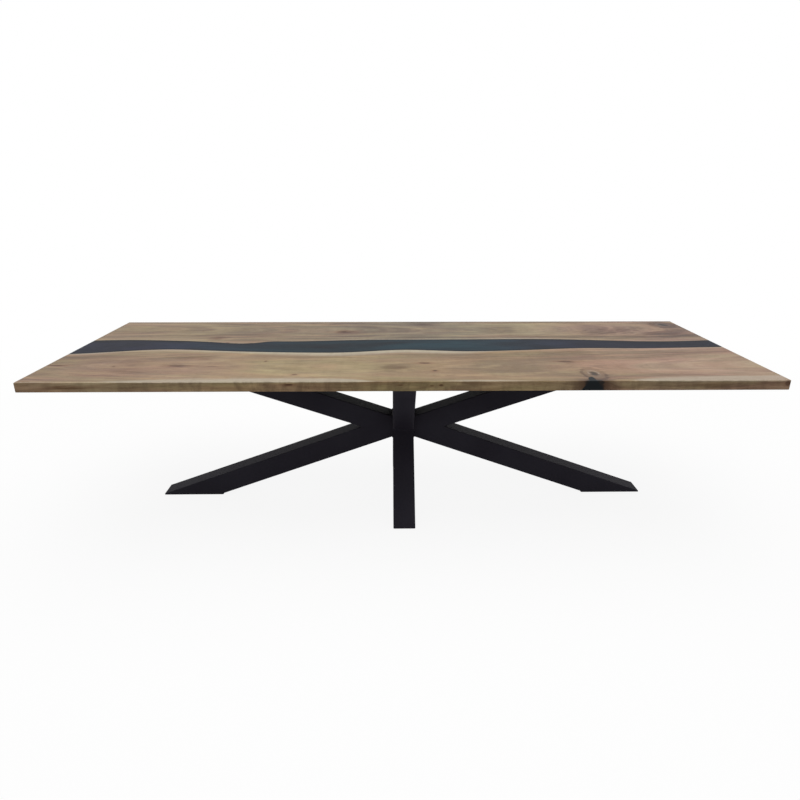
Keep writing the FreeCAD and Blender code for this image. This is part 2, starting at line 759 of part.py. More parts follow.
def make_bolt():
    """Make a bolt with a round head and a hexagon socket, its head downwards."""
    shank = cylinder("bolt_shank", "sizes.bolt_diameter", BOLT_LENGTH)
    head = cylinder("bolt_cap", "sizes.bolt_head", "sizes.bolt_head_height", "-sizes.bolt_head_height")
    socket = hexagon("bolt_hex", "sizes.bolt_socket", "sizes.bolt_socket_depth", "-sizes.bolt_head_height")
    return cut("bolt_pattern", fused("bolt_blank", shank, head), socket)


def make_ring(name, diameter, bore, height):
    """Make a round ring or sleeve."""
    outside = cylinder(f"{name}_outside", diameter, height)
    return cut(name, outside, cylinder(f"{name}_bore", bore, height))


def make_screw():
    """Make a wood screw with a flat round head, its head downwards."""
    shank = cylinder("screw_shank", "sizes.screw_diameter", f"sizes.channel_wall + {SCREW_DEPTH}")
    head = cylinder("screw_cap", "sizes.screw_head", "sizes.screw_head_height", "-sizes.screw_head_height")
    return fused("screw_pattern", shank, head)


washer = make_ring("washer_pattern", "sizes.washer_diameter", BOLT_BORE, "sizes.washer_thickness")
insert = make_ring("insert_pattern", INSERT_DIAMETER, BOLT_BORE, "sizes.insert_length")
keep(group("plate_bolts", make_bolt(), ALL_BOLTS, WASHER_LEVEL))
keep(group("plate_washers", washer, ALL_BOLTS, WASHER_LEVEL))
keep(group("threaded_inserts", insert, ALL_BOLTS, UNDERSIDE))
keep(group("channel_screws", make_screw(), ALL_SCREWS, WEB_LEVEL))


# Checks, then one file per sub-part

doc.recompute()
for item in doc.Objects:
    if "Invalid" in item.State or "Error" in item.State:
        raise RuntimeError(f"{item.Name} failed: {item.State}")
for piece in pieces:
    if piece.Shape.isNull() or not piece.Shape.isValid() or not piece.Shape.Solids:
        raise RuntimeError(f"{piece.Label} has no valid solid")

os.makedirs("parts", exist_ok=True)
for piece in pieces:
    piece.Shape.exportStep(f"parts/{piece.Label}.step")
    print(f"{piece.Label}: {len(piece.Shape.Solids)} solid, {piece.Shape.Volume / 1000:.1f} cm3")
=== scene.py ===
"""Finishes the river dining table: oiled walnut, dark cast resin, black powder coat, zinc and nylon.

Lengths are metres in the table's own axes. X runs along the top, -Y looks out over the long edge with
the filled knot, Z stands up from the floor, and the middle of the table is over the origin.
"""

import logging
import math
from dataclasses import dataclass
from enum import Enum
from functools import reduce
from typing import Callable, Iterable, Optional, Sequence, Union

import bpy
from mathutils import Matrix, Vector


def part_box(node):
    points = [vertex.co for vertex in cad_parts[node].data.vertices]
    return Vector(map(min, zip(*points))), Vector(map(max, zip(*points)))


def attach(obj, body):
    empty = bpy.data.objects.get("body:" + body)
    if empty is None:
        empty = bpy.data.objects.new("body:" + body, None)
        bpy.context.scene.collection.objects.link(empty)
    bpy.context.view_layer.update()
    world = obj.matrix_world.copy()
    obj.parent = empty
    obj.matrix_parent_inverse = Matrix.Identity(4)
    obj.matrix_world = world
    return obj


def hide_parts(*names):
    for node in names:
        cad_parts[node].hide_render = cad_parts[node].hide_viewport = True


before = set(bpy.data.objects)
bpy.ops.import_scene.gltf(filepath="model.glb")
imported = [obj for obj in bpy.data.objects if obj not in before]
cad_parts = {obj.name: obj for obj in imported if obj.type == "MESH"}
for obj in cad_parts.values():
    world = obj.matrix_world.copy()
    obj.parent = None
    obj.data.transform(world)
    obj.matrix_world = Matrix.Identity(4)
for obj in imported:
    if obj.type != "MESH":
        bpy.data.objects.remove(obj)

LOG = logging.getLogger("river_table")
MM = 0.001
SLIGHT = 0.05 * MM
HEX_SIDES = 6
SMOOTH_ANGLE = math.radians(35)
WHITE = (1.0, 1.0, 1.0, 1.0)
# Where a natural edge can lie across the table, and how wide sapwood can be; below 0 it stays away
BANK_RANGE = (-0.2, 0.2)
SAPWOOD_RANGE = (-0.06, 0.12)
Colour = tuple[float, float, float, float]
Triple = tuple[float, float, float]
Trail = Sequence[tuple[float, float]]
Row = tuple[float, ...]
Operand = Union["Shade", float, Colour, Triple]


def tone(red: float, green: float, blue: float) -> Colour:
    """Turn a screen colour into the linear colour that shaders use.

    Args:
        red: The red channel, 0 to 255.
        green: The green channel, 0 to 255.
        blue: The blue channel, 0 to 255.

    Returns:
        The linear colour, opaque.
    """
    shares = [channel / 255 for channel in (red, green, blue)]
    linear = [s / 12.92 if s <= 0.04045 else ((s + 0.055) / 1.055) ** 2.4 for s in shares]
    return (linear[0], linear[1], linear[2], 1.0)


class Shade:
    """One output of a tree of nodes, written in sums like a number."""

    def __init__(self, paint: "Paint", socket: bpy.types.NodeSocket) -> None:
        """Keep the socket and the paint that it belongs to."""
        self.paint = paint
        self.socket = socket

    def out(self, name: str) -> "Shade":
        """Give another output of the same node."""
        return Shade(self.paint, self.socket.node.outputs[name])

    def about_zero(self, reach: float) -> "Shade":
        """Turn a noise of 0 to 1 into one about zero, this wide in all."""
        return (self - 0.5) * reach

    def __add__(self, other: Operand) -> "Shade":
        """Add a value to this one."""
        return self.paint.maths("ADD", self, other)

    def __radd__(self, other: Operand) -> "Shade":
        """Add this one to a value."""
        return self.paint.maths("ADD", other, self)

    def __sub__(self, other: Operand) -> "Shade":
        """Take a value from this one."""
        return self.paint.maths("SUBTRACT", self, other)

    def __rsub__(self, other: Operand) -> "Shade":
        """Take this one from a value."""
        return self.paint.maths("SUBTRACT", other, self)

    def __mul__(self, other: Operand) -> "Shade":
        """Multiply this one by a value."""
        return self.paint.maths("MULTIPLY", self, other)

    def __rmul__(self, other: Operand) -> "Shade":
        """Multiply a value by this one."""
        return self.paint.maths("MULTIPLY", other, self)

    def __abs__(self) -> "Shade":
        """Give this one without its sign."""
        return self.paint.maths("ABSOLUTE", self)


Fars = Sequence[tuple[Shade, float]]


class Paint:
    """The nodes of one material or world while they are being laid out."""

    def __init__(self, owner: Union[bpy.types.Material, bpy.types.World]) -> None:
        """Clear the owner's nodes and keep its tree.

        Args:
            owner: The material or world.
        """
        owner.use_nodes = True
        self.owner = owner
        self.tree = owner.node_tree
        self.tree.nodes.clear()

    @classmethod
    def material(cls, name: str) -> "Paint":
        """Start a new material."""
        return cls(bpy.data.materials.new(name))

    def node(self, kind: str, settings: Optional[dict[str, object]] = None,
             inputs: Optional[dict[Union[str, int], Operand]] = None, output: Union[str, int] = 0) -> Shade:
        """Add one node.

        Args:
            kind: The node's type.
            settings: Its settings, set first. A ramp's "stops" are pairs of place and colour, and a
                float curve's "points" are pairs of place and height.
            inputs: The value or link of each socket, by name or number.
            output: The output to give back, by name or number.

        Returns:
            The node's output.
        """
        made = self.tree.nodes.new(kind)
        for name, setting in (settings or {}).items():
            if name == "stops":
                self._set_stops(made.color_ramp, setting)
            elif name == "points":
                self._set_points(made.mapping, setting)
            else:
                setattr(made, name, setting)
        for key, value in (inputs or {}).items():
            if isinstance(value, Shade):
                self.tree.links.new(value.socket, made.inputs[key])
            else:
                made.inputs[key].default_value = value
        return Shade(self, made.outputs[output]) if len(made.outputs) else Shade(self, None)

    @staticmethod
    def _set_stops(band: bpy.types.ColorRamp, stops: Sequence[tuple[float, Colour]]) -> None:
        """Give a ramp its stops.

        Args:
            band: The ramp.
            stops: Each stop's place and colour, in order.
        """
        for place, _ in stops[2:]:
            band.elements.new(place)
        for element, (place, colour) in zip(band.elements, stops):
            element.position = place
            element.color = colour

    @staticmethod
    def _set_points(mapping: bpy.types.CurveMapping, points: Trail) -> None:
        """Give a float curve its points.

        Args:
            mapping: The curve's mapping.
            points: Each point's place and height, both from 0 to 1, in order.
        """
        line = mapping.curves[0]
        line.points[0].location = points[0]
        line.points[1].location = points[-1]
        for place, height in points[1:-1]:
            line.points.new(place, height)
        mapping.update()

    def maths(self, operation: str, *values: Operand) -> Shade:
        """Add a Math node on one or two values."""
        return self.node("ShaderNodeMath", {"operation": operation}, dict(enumerate(values)))

    def vectors(self, operation: str, *values: Operand) -> Shade:
        """Add a Vector Math node on one or two vectors."""
        return self.node("ShaderNodeVectorMath", {"operation": operation}, dict(enumerate(values)))

    def length(self, vector: Operand) -> Shade:
        """Give a vector's length."""
        return self.vectors("LENGTH", vector).out("Value")

    def mix(self, share: Operand, first: Operand, second: Operand, how: str = "MIX") -> Shade:
        """Mix two colours.

        Args:
            share: How much of the second colour there is, 0 to 1.
            first: The first colour.
            second: The second colour.
            how: The way they are mixed.

        Returns:
            The mixed colour.
        """
        settings = {"data_type": "RGBA", "blend_type": how}
        return self.node("ShaderNodeMix", settings, {0: share, 6: first, 7: second}, 2)

    def place(self) -> Shade:
        """Give the place on the piece, in metres."""
        return self.node("ShaderNodeTexCoord", output="Object")

    def axes(self, vector: Shade) -> tuple[Shade, Shade, Shade]:
        """Split a vector into its three parts."""
        parts = self.node("ShaderNodeSeparateXYZ", inputs={0: vector})
        return parts, parts.out("Y"), parts.out("Z")

    def vector(self, x: Operand, y: Operand, z: Operand) -> Shade:
        """Join three values into a vector."""
        return self.node("ShaderNodeCombineXYZ", inputs={0: x, 1: y, 2: z})

    def noise(self, vector: Shade, scale: Union[float, Triple], detail: float = 2.0, roughness: float = 0.5,
              distortion: float = 0.0) -> Shade:
        """Add a noise.

        Args:
            vector: The place that it is read at.
            scale: Its lumps to a metre, the same all ways or one for each axis.
            detail: How many finer layers it has.
            roughness: How strong the finer layers are.
            distortion: How far its lumps are pulled about.

        Returns:
            The noise, 0 to 1.
        """
        if isinstance(scale, tuple):
            vector, scale = self.vectors("MULTIPLY", vector, scale), 1.0
        return self.node("ShaderNodeTexNoise", inputs={
            "Vector": vector, "Scale": scale, "Detail": detail, "Roughness": roughness,
            "Distortion": distortion})

    def rise(self, value: Operand, low: Operand, high: Operand) -> Shade:
        """Go smoothly from 0 at the low value to 1 at the high one."""
        return self.node("ShaderNodeMapRange", {"interpolation_type": "SMOOTHSTEP"},
                         {"Value": value, "From Min": low, "From Max": high})

    def stretch(self, noise: Shade) -> Shade:
        """Stretch a noise, which seldom leaves its middle range, over 0 to 1."""
        return self.rise(noise, 0.3, 0.7)

    def line(self, x: Shade, points: Trail, low: float, high: float) -> Shade:
        """Read a height from a smooth line drawn along the table.

        Args:
            x: The place along the table.
            points: The line's points, each a place along the table and a height.
            low: The lowest height that the line can have.
            high: The highest height that it can have.

        Returns:
            The height at x.
        """
        start, end = points[0][0], points[-1][0]
        shares = [((at - start) / (end - start), (height - low) / (high - low)) for at, height in points]
        share = self.node("ShaderNodeFloatCurve", {"points": shares},
                          {"Factor": 1.0, "Value": (x - start) * (1 / (end - start))})
        return share * (high - low) + low

    def ramp(self, value: Shade, stops: Sequence[tuple[float, Colour]]) -> Shade:
        """Turn a value into a colour."""
        return self.node("ShaderNodeValToRGB", {"stops": stops}, {0: value})

    def bump(self, height: Shade, distance: float) -> Shade:
        """Turn a height into a normal, where a height of 1 stands for the distance."""
        return self.node("ShaderNodeBump", inputs={"Strength": 1.0, "Distance": distance, "Height": height})

    def surface(self, **sockets: Operand) -> bpy.types.Material:
        """Close the material with its shader.

        Args:
            sockets: The shader's sockets, with _ for each space in a name.

        Returns:
            The finished material.
        """
        inputs = {name.replace("_", " "): value for name, value in sockets.items()}
        shader = self.node("ShaderNodeBsdfPrincipled", inputs=inputs)
        self.node("ShaderNodeOutputMaterial", inputs={"Surface": shader})
        return self.owner


KNOT_BLACK = tone(24, 20, 18)
KNOT_BROWN = tone(74, 53, 40)


class Trace(Enum):
    """What a mark in the wood is."""

    KNOT = "knot"
    BARK = "bark"
    CRACK = "crack"
    FIGURE = "figure"


# How far each kind of mark bends the grain round it, frays at its rim and splinters along the grain
GRAIN_PULL = {Trace.KNOT: 0.8, Trace.BARK: 0.3, Trace.CRACK: 0.0, Trace.FIGURE: 0.3}
FRAYING = {Trace.KNOT: 0.5, Trace.BARK: 0.6, Trace.CRACK: 1.0, Trace.FIGURE: 0.9}
SPLINTERS = {Trace.KNOT: 0.3, Trace.BARK: 0.3, Trace.CRACK: 1.6, Trace.FIGURE: 0.5}


@dataclass(frozen=True)
class Mark:
    """A knot, crack or patch of figure in a board."""

    trace: Trace
    at: Triple
    reach: Triple
    strength: float


@dataclass(frozen=True)
class Coat:
    """A coat of colour round marks: full up to one distance, gone at another, and how much it covers."""

    near: float
    end: float
    share: float
    colour: Colour
    how: str = "MIX"

    def mask(self, paint: Paint, fars: Fars) -> Shade:
        """Join the marks in one mask.

        Args:
            paint: The paint.
            fars: Each mark's distance and strength.

        Returns:
            The mask.
        """
        masks = [(1 - paint.rise(far, self.near, self.end)) * strength for far, strength in fars]
        return reduce(lambda first, second: paint.maths("MAXIMUM", first, second), masks)

    def lay(self, paint: Paint, fars: Fars, under: Shade, left: Operand = 1.0) -> Shade:
        """Lay the coat.

        Args:
            paint: The paint.
            fars: Each mark's distance and strength.
            under: The colour under it.
            left: How much of the coat is left in each place.

        Returns:
            The colour with the coat on it.
        """
        return paint.mix(self.mask(paint, fars) * self.share * left, under, self.colour, self.how)


@dataclass(frozen=True)
class Lines:
    """One layer of lines that follow the grain, with its lumps to a metre along it and across it."""

    along: float
    across: float
    detail: float
    roughness: float = 0.6
    distortion: float = 0.0

    def read(self, paint: Paint, x: Shade, ring: Shade, seed: float) -> Shade:
        """Read the layer at a place along the table and a distance from the pith."""
        place = paint.vector(x * self.along, ring * self.across, seed)
        return paint.noise(place, 1.0, self.detail, self.roughness, self.distortion)


@dataclass(frozen=True)
class Walnut:
    """Oiled walnut with its natural edge, grain, sapwood and marks."""

    name: str
    bank: Trail
    side: float
    pith: tuple[float, float]
    pith_slope: float
    offset: Triple
    bank_sapwood: Trail
    edge_sapwood: Trail
    rosy: Trail
    olive: Trail
    dim: Trail
    contrast: Trail
    heart_shade: Trail
    marks: Sequence[Mark]
    outer_edge: float
    top: float
    deep: Colour = tone(80, 61, 46)
    dark: Colour = tone(112, 91, 70)
    middle: Colour = tone(135, 114, 89)
    light: Colour = tone(153, 132, 105)
    pale: Colour = tone(168, 149, 122)
    # The colour of the painted sheen on the figure
    painted_sheen: Colour = tone(180, 160, 122)
    sapwood: Colour = tone(170, 164, 148)
    pink_sapwood: Colour = tone(171, 152, 139)
    figure: Coat = Coat(0.1, 1.2, 1.0, (0.46, 0.36, 0.38, 1.0), "MULTIPLY")
    halo: Coat = Coat(0.3, 1.7, 0.45, KNOT_BROWN)
    arc: Coat = Coat(0.05, 0.25, 1.0, KNOT_BROWN)
    swirl: Coat = Coat(0.02, 0.16, 0.5, tone(170, 158, 147))
    core: Coat = Coat(0.2, 0.5, 1.0, KNOT_BLACK)
    bark_halo: Coat = Coat(0.8, 2.8, 0.9, KNOT_BROWN)
    bark_core: Coat = Coat(0.8, 1.1, 1.0, KNOT_BLACK)
    rust: Coat = Coat(0.3, 2.1, 0.45, tone(112, 70, 48))
    split: Coat = Coat(0.4, 0.9, 0.9, tone(62, 36, 24))
    vein_tint: Colour = (0.62, 0.52, 0.46, 1.0)
    heart_tint: Colour = (0.58, 0.55, 0.53, 1.0)
    smoky_tint: Colour = (0.62, 0.71, 0.84, 1.0)
    rose_tint: Colour = (1.3, 1.03, 1.3, 1.0)
    moss_tint: Colour = (1.07, 1.2, 0.87, 1.0)
    warm_tint: Colour = (1.05, 0.98, 0.99, 1.0)
    cool_tint: Colour = (0.96, 1.01, 0.96, 1.0)
    # How much lighter the outer face is painted, as painted light
    painted_face_light: Colour = (1.32, 1.33, 1.28, 1.0)
    wander: Triple = (0.55, 1.4, 1.4)
    wander_reach: float = 0.16
    pith_wander: float = 0.05
    sway: Triple = (2.6, 6.0, 6.0)
    sway_reach: float = 0.03
    fraying: Triple = (16.0, 70.0, 70.0)
    bands: Lines = Lines(0.8, 13.0, 3.0)
    streaks: Lines = Lines(3.2, 58.0, 5.0, 0.62)
    fine_lines: Lines = Lines(9.0, 420.0, 2.0)
    rings_a_metre: float = 90.0
    ring_fray: float = 4.0
    ring_drift: float = 3.0
    band_share: float = 0.36
    streak_share: float = 0.46
    ring_share: float = 0.04
    line_share: float = 0.14
    veins: Lines = Lines(1.9, 31.0, 4.0, 0.62, 0.3)
    blushes: Lines = Lines(2.2, 27.0, 3.0)
    blush_shift: float = 4.0
    mottling: Triple = (2.4, 11.0, 11.0)
    rippling: Triple = (24.0, 5.0, 12.0)
    pores: Triple = (32.0, 620.0, 620.0)
    mean_tint: float = 0.55
    rose_share: float = 0.6
    moss_share: float = 0.5
    smoke_share: float = 0.85
    bank_white: float = 0.75
    edge_white: float = 0.8
    pore_share: float = 0.3
    shade_start: tuple[float, float] = (0.01, 0.06)
    shade_end: tuple[float, float] = (0.11, 0.21)
    bank_fade: tuple[float, float] = (-0.028, 0.024)
    edge_fade: tuple[float, float] = (-0.02, 0.012)
    edge_drop: float = 14.0
    face_fade: tuple[float, float] = (1.5 * MM, 3.5 * MM)
    mark_wobble: float = 0.012
    pull_reach: float = 2.4
    arc_at: float = 1.05
    swirl_at: float = 0.52
    relief: float = 0.12 * MM

    @staticmethod
    def _far(paint: Paint, place: Shade, mark: Mark, wider: float = 1.0) -> Shade:
        """Say how far a place is from a mark, where 1 is the mark's own reach.

        Args:
            paint: The paint.
            place: The place on the board.
            mark: The mark.
            wider: How many times the mark's reach counts as 1.

        Returns:
            The distance.
        """
        away = paint.vectors("SUBTRACT", place, mark.at)
        scale = tuple(1 / (wider * reach) for reach in mark.reach)
        return paint.length(paint.vectors("MULTIPLY", away, scale))

    def _push(self, paint: Paint, place: Shade, across: Shade) -> Shade:
        """Bend the grain round the knots and the figure.

        Args:
            paint: The paint.
            place: The place on the board.
            across: The place across the grain.

        Returns:
            The place across the grain with the bends in it.
        """
        for mark in self.marks:
            strength = GRAIN_PULL[mark.trace] * mark.strength
            if strength > 0:
                pull = 1 - paint.rise(self._far(paint, place, mark, self.pull_reach), 0.0, 1.0)
                across = across - (across - mark.at[1]) * pull * strength
        return across

    def _draw_marks(self, paint: Paint, place: Shade, fray: Shade, streak: Shade, fine: Shade,
                    colour: Shade) -> tuple[Shade, Shade]:
        """Paint the knots, the cracks and the figure.

        Args:
            paint: The paint.
            place: The place on the board, with its small wander.
            fray: A noise that frays the marks.
            streak: The streaks of the grain.
            fine: The fine lines of the grain.
            colour: The colour of the clear wood.

        Returns:
            The colour with the marks in it, and a mask of the open cracks.
        """
        fars: dict[Trace, list[tuple[Shade, float]]] = {trace: [] for trace in Trace}
        for mark in self.marks:
            far = self._far(paint, place, mark)
            ragged = far + fray.about_zero(FRAYING[mark.trace]) + fine.about_zero(SPLINTERS[mark.trace])
            fars[mark.trace].append((ragged, mark.strength))
        knots, barks, cracks = fars[Trace.KNOT], fars[Trace.BARK], fars[Trace.CRACK]
        colour = self.figure.lay(paint, fars[Trace.FIGURE], colour, 1 - paint.rise(streak, 0.4, 1.0))
        colour = self.halo.lay(paint, knots, colour)
        broken = paint.rise(fray + streak.about_zero(0.4), 0.4, 0.6)
        arcs = [(abs(far - self.arc_at), strength) for far, strength in knots]
        colour = self.arc.lay(paint, arcs, colour, 1 - broken * 0.75)
        swirls = [(abs(far - self.swirl_at), strength) for far, strength in knots]
        colour = self.swirl.lay(paint, swirls, colour, broken * 0.8 + 0.2)
        colour = self.core.lay(paint, knots, colour)
        if barks:
            colour = self.bark_halo.lay(paint, barks, colour)
            colour = self.bark_core.lay(paint, barks, colour)
        colour = self.rust.lay(paint, cracks, colour)
        return self.split.lay(paint, cracks, colour), self.split.mask(paint, cracks)

    def material(self) -> bpy.types.Material:
        """Lay out the wood's nodes.

        Returns:
            The material.
        """
        paint = Paint.material(self.name)
        place = paint.place()
        x, y, z = paint.axes(place)
        shifted = paint.vectors("ADD", place, self.offset)

        # The grain wanders slowly, swings round the knots and lies in rings round a pith under the board.
        slow = paint.noise(shifted, self.wander)
        swing = paint.noise(shifted, self.sway)
        fray = paint.noise(shifted, self.fraying, 3.0)
        drifted = slow.about_zero(self.wander_reach) + swing.about_zero(self.sway_reach)
        across = self._push(paint, place, y) + drifted
        depth = z - (self.pith[1] + x * self.pith_slope) + slow.about_zero(self.pith_wander)
        beside = across - self.pith[0]
        ring = paint.maths("SQRT", beside * beside + depth * depth)

        # Broad bands, streaks, growth rings and fine lines all follow the same rings.
        bands = self.bands.read(paint, x, ring, self.offset[0])
        band = paint.stretch(bands)
        streaks = self.streaks.read(paint, x, ring, self.offset[1])
        streak = paint.stretch(streaks)
        frayed = streaks.about_zero(self.ring_fray) + bands.about_zero(self.ring_drift)
        growth = paint.maths("FRACT", ring * self.rings_a_metre + frayed)
        fine = self.fine_lines.read(paint, x, ring, self.offset[2])
        tint = band * self.band_share + streak * self.streak_share
        tint = tint + growth * self.ring_share + paint.stretch(fine) * self.line_share
        contrast = paint.line(x, self.contrast, 0.0, 2.0)
        colour = paint.ramp((tint - self.mean_tint) * contrast + self.mean_tint, [
            (0.14, self.deep), (0.32, self.dark), (0.5, self.middle), (0.68, self.light),
            (0.88, self.pale)])

        # The heartwood is rosy in one place, mossy in another and grey in a third.
        mottle = paint.noise(shifted, self.mottling, 3.0)
        drift = paint.stretch(mottle + slow.about_zero(0.6))
        rosy = paint.line(x, self.rosy, 0.0, 1.0) * (drift * 0.75 + 0.25)
        mossy = paint.line(x, self.olive, 0.0, 1.0) * (1 - drift * 0.75)
        colour = paint.mix(rosy * self.rose_share, colour, self.rose_tint, "MULTIPLY")
        colour = paint.mix(mossy * self.moss_share, colour, self.moss_tint, "MULTIPLY")
        dim = paint.line(x, self.dim, 0.0, 1.0)
        colour = paint.mix(dim * self.smoke_share, colour, self.smoky_tint, "MULTIPLY")

        # Dark veins run along the grain with ragged ends; slanting patches of figure get a painted sheen.
        vein = 1 - paint.rise(self.veins.read(paint, x, ring, self.offset[2]), 0.3, 0.47)
        colour = paint.mix(vein * contrast * (0.7 - mossy * 0.3), colour, self.vein_tint, "MULTIPLY")
        # Painted sheen: a paler colour in slanting patches stands in for light catching the figure.
        slant = paint.vector(x * 3.2 + y * 5.0, y * 15.0 - x * 2.2, z * 15.0 + self.offset[1])
        sheen_patches = paint.noise(slant, 1.0, 3.0, 0.55, 0.5)
        colour = paint.mix(paint.rise(sheen_patches, 0.5, 0.68) * (mossy * 0.45 + 0.16), colour, self.painted_sheen)

        # The hue swings between warm and cool from streak to streak.
        blush = self.blushes.read(paint, x, ring, self.offset[0] + self.blush_shift)
        hue = paint.mix(paint.rise(blush, 0.36, 0.64), self.cool_tint, self.warm_tint)
        colour = paint.mix(1.0, colour, hue, "MULTIPLY")

        # Sapwood runs along the outer edge's top, and along the natural edge with darker wood behind it.
        uneven = streaks.about_zero(0.06) + slow.about_zero(0.04) + fray.about_zero(0.008)
        inland = (y - paint.line(x, self.bank, *BANK_RANGE)) * self.side
        behind = inland + uneven
        shade = paint.rise(behind, *self.shade_start) * (1 - paint.rise(behind, *self.shade_end))
        shade = shade * paint.line(x, self.heart_shade, 0.0, 1.0) * (1 - streak * 0.5)
        colour = paint.mix(shade, colour, self.heart_tint, "MULTIPLY")
        bank_width = paint.line(x, self.bank_sapwood, *SAPWOOD_RANGE)
        beside_bank = 1 - paint.rise(behind - bank_width, *self.bank_fade)
        inset = (self.outer_edge - y) * self.side
        edge_width = paint.line(x, self.edge_sapwood, *SAPWOOD_RANGE)
        outer = inset + (self.top - z) * self.edge_drop
        beside_edge = 1 - paint.rise(outer + uneven - edge_width, *self.edge_fade)
        white = paint.maths("MAXIMUM", beside_bank * self.bank_white, beside_edge * self.edge_white)
        sap = paint.mix(rosy, self.sapwood, self.pink_sapwood)
        sap = paint.mix((1 - tint) * 0.45, sap, self.light)
        colour = paint.mix(white, colour, sap)

        # Ripples cross the grain in places, most of all on the sawn outer edge; its face gets painted
        # light.
        face = 1 - paint.rise(inset, *self.face_fade)
        ripples = paint.noise(shifted, self.rippling, 4.0, 0.6, 0.4)
        ripple = (1 - paint.rise(ripples, 0.35, 0.6)) * paint.rise(slow, 0.35, 0.65)
        # Painted light: the outer face's colour is lifted to stand in for light falling on that side.
        colour = paint.mix(face, colour, self.painted_face_light, "MULTIPLY")
        colour = paint.mix(ripple * (face * 0.4 + 0.1), colour, self.deep)

        wobble = paint.vector(swing.about_zero(self.mark_wobble), fray.about_zero(self.mark_wobble), 0.0)
        wobbled = paint.vectors("ADD", place, wobble)
        colour, crack = self._draw_marks(paint, wobbled, fray, streak, fine, colour)

        # Open pores are short dashes along the grain.
        pore = paint.rise(paint.noise(paint.vector(x, across, z), self.pores, 1.0), 0.58, 0.7)
        colour = paint.mix(pore * self.pore_share, colour, self.deep)
        height = streak * 0.3 + fine * 0.35 - pore * 0.7 - crack * 2.0
        rough = 0.5 + streak.about_zero(0.12) + pore * 0.12
        return paint.surface(Base_Color=colour, Roughness=rough, Specular_IOR_Level=0.14,
                             Normal=paint.bump(height, self.relief))


@dataclass(frozen=True)
class DarkResin:
    """Cast resin with dark pigment, clouded where the pour has swirled, rubbed to a satin."""

    name: str
    front_bank: Trail
    rear_bank: Trail
    deep: Colour = tone(16, 18, 24)
    slate: Colour = tone(28, 49, 58)
    violet: Colour = tone(33, 35, 53)
    clouding: Triple = (1.6, 5.0, 5.0)
    drifting: Triple = (0.6, 1.5, 1.5)
    haze_grain: Triple = (30.0, 90.0, 90.0)
    violet_from: float = 0.6
    shore_width: float = 0.035

    def material(self) -> bpy.types.Material:
        """Lay out the resin's nodes.

        Returns:
            The material.
        """
        paint = Paint.material(self.name)
        place = paint.place()
        x, y, _ = paint.axes(place)
        clouds = paint.noise(place, self.clouding, 4.0, 0.55, 0.8)
        drift = paint.noise(place, self.drifting, 1.0) + (abs(x) - self.violet_from) * 0.35
        colour = paint.mix(paint.rise(drift, 0.4, 0.75), self.slate, self.violet)
        colour = paint.mix(1 - paint.rise(clouds, 0.25, 0.7), colour, self.deep)
        front = y - paint.line(x, self.front_bank, *BANK_RANGE)
        rear = paint.line(x, self.rear_bank, *BANK_RANGE) - y
        shore = paint.rise(paint.maths("MINIMUM", front, rear), 0.0, self.shore_width)
        colour = paint.mix((1 - shore) * 0.75, colour, self.deep)
        haze = paint.noise(place, self.haze_grain, 3.0, 0.6)
        return paint.surface(Base_Color=colour, Roughness=0.4 + haze.about_zero(0.1),
                             Specular_IOR_Level=0.02, Normal=paint.bump(haze, 0.02 * MM))


@dataclass(frozen=True)
class PowderCoat:
    """Matt black powder coat with its fine baked texture."""

    name: str
    black: Colour = tone(45, 42, 50)
    faded: Colour = tone(53, 51, 59)
    peel_grain: float = 520.0
    grit_grain: float = 1900.0
    cast_grain: float = 3.2

    def material(self) -> bpy.types.Material:
        """Lay out the coating's nodes.

        Returns:
            The material.
        """
        paint = Paint.material(self.name)
        place = paint.place()
        peel = paint.noise(place, self.peel_grain)
        grit = paint.noise(place, self.grit_grain, 1.0)
        cast = paint.noise(place, self.cast_grain, 3.0)
        colour = paint.mix(paint.stretch(cast), self.black, self.faded)
        rough = 0.55 + cast.about_zero(0.12) + grit.about_zero(0.1)
        return paint.surface(Base_Color=colour, Roughness=rough, Specular_IOR_Level=0.04,
                             Normal=paint.bump(peel * 0.7 + grit * 0.3, 0.15 * MM))


@dataclass(frozen=True)
class ZincPlate:
    """Bright zinc plating on small steel parts."""

    name: str
    bright: Colour = tone(176, 180, 184)
    dull: Colour = tone(138, 140, 140)
    patch_grain: float = 140.0
    fine_grain: float = 2600.0

    def material(self) -> bpy.types.Material:
        """Lay out the plating's nodes.

        Returns:
            The material.
        """
        paint = Paint.material(self.name)
        place = paint.place()
        patch = paint.noise(place, self.patch_grain, 3.0)
        fine = paint.noise(place, self.fine_grain, 1.0)
        colour = paint.mix(paint.rise(patch, 0.35, 0.7), self.bright, self.dull)
        return paint.surface(Base_Color=colour, Metallic=1.0, Roughness=0.32 + patch.about_zero(0.2),
                             Normal=paint.bump(fine, 0.01 * MM))


@dataclass(frozen=True)
class MouldedNylon:
    """Dark nylon with the fine grain of its mould."""

    name: str
    black: Colour = tone(30, 30, 31)
    scuffed: Colour = tone(52, 52, 53)
    mould_grain: float = 1500.0
    scuff_grain: Triple = (240.0, 80.0, 80.0)

    def material(self) -> bpy.types.Material:
        """Lay out the nylon's nodes.

        Returns:
            The material.
        """
        paint = Paint.material(self.name)
        place = paint.place()
        grain = paint.noise(place, self.mould_grain)
        scuff = paint.noise(place, self.scuff_grain, 3.0)
        colour = paint.mix(paint.rise(scuff, 0.55, 0.85) * 0.6, self.black, self.scuffed)
        return paint.surface(Base_Color=colour, Roughness=0.5 + grain.about_zero(0.2),
                             Normal=paint.bump(grain, 0.04 * MM))


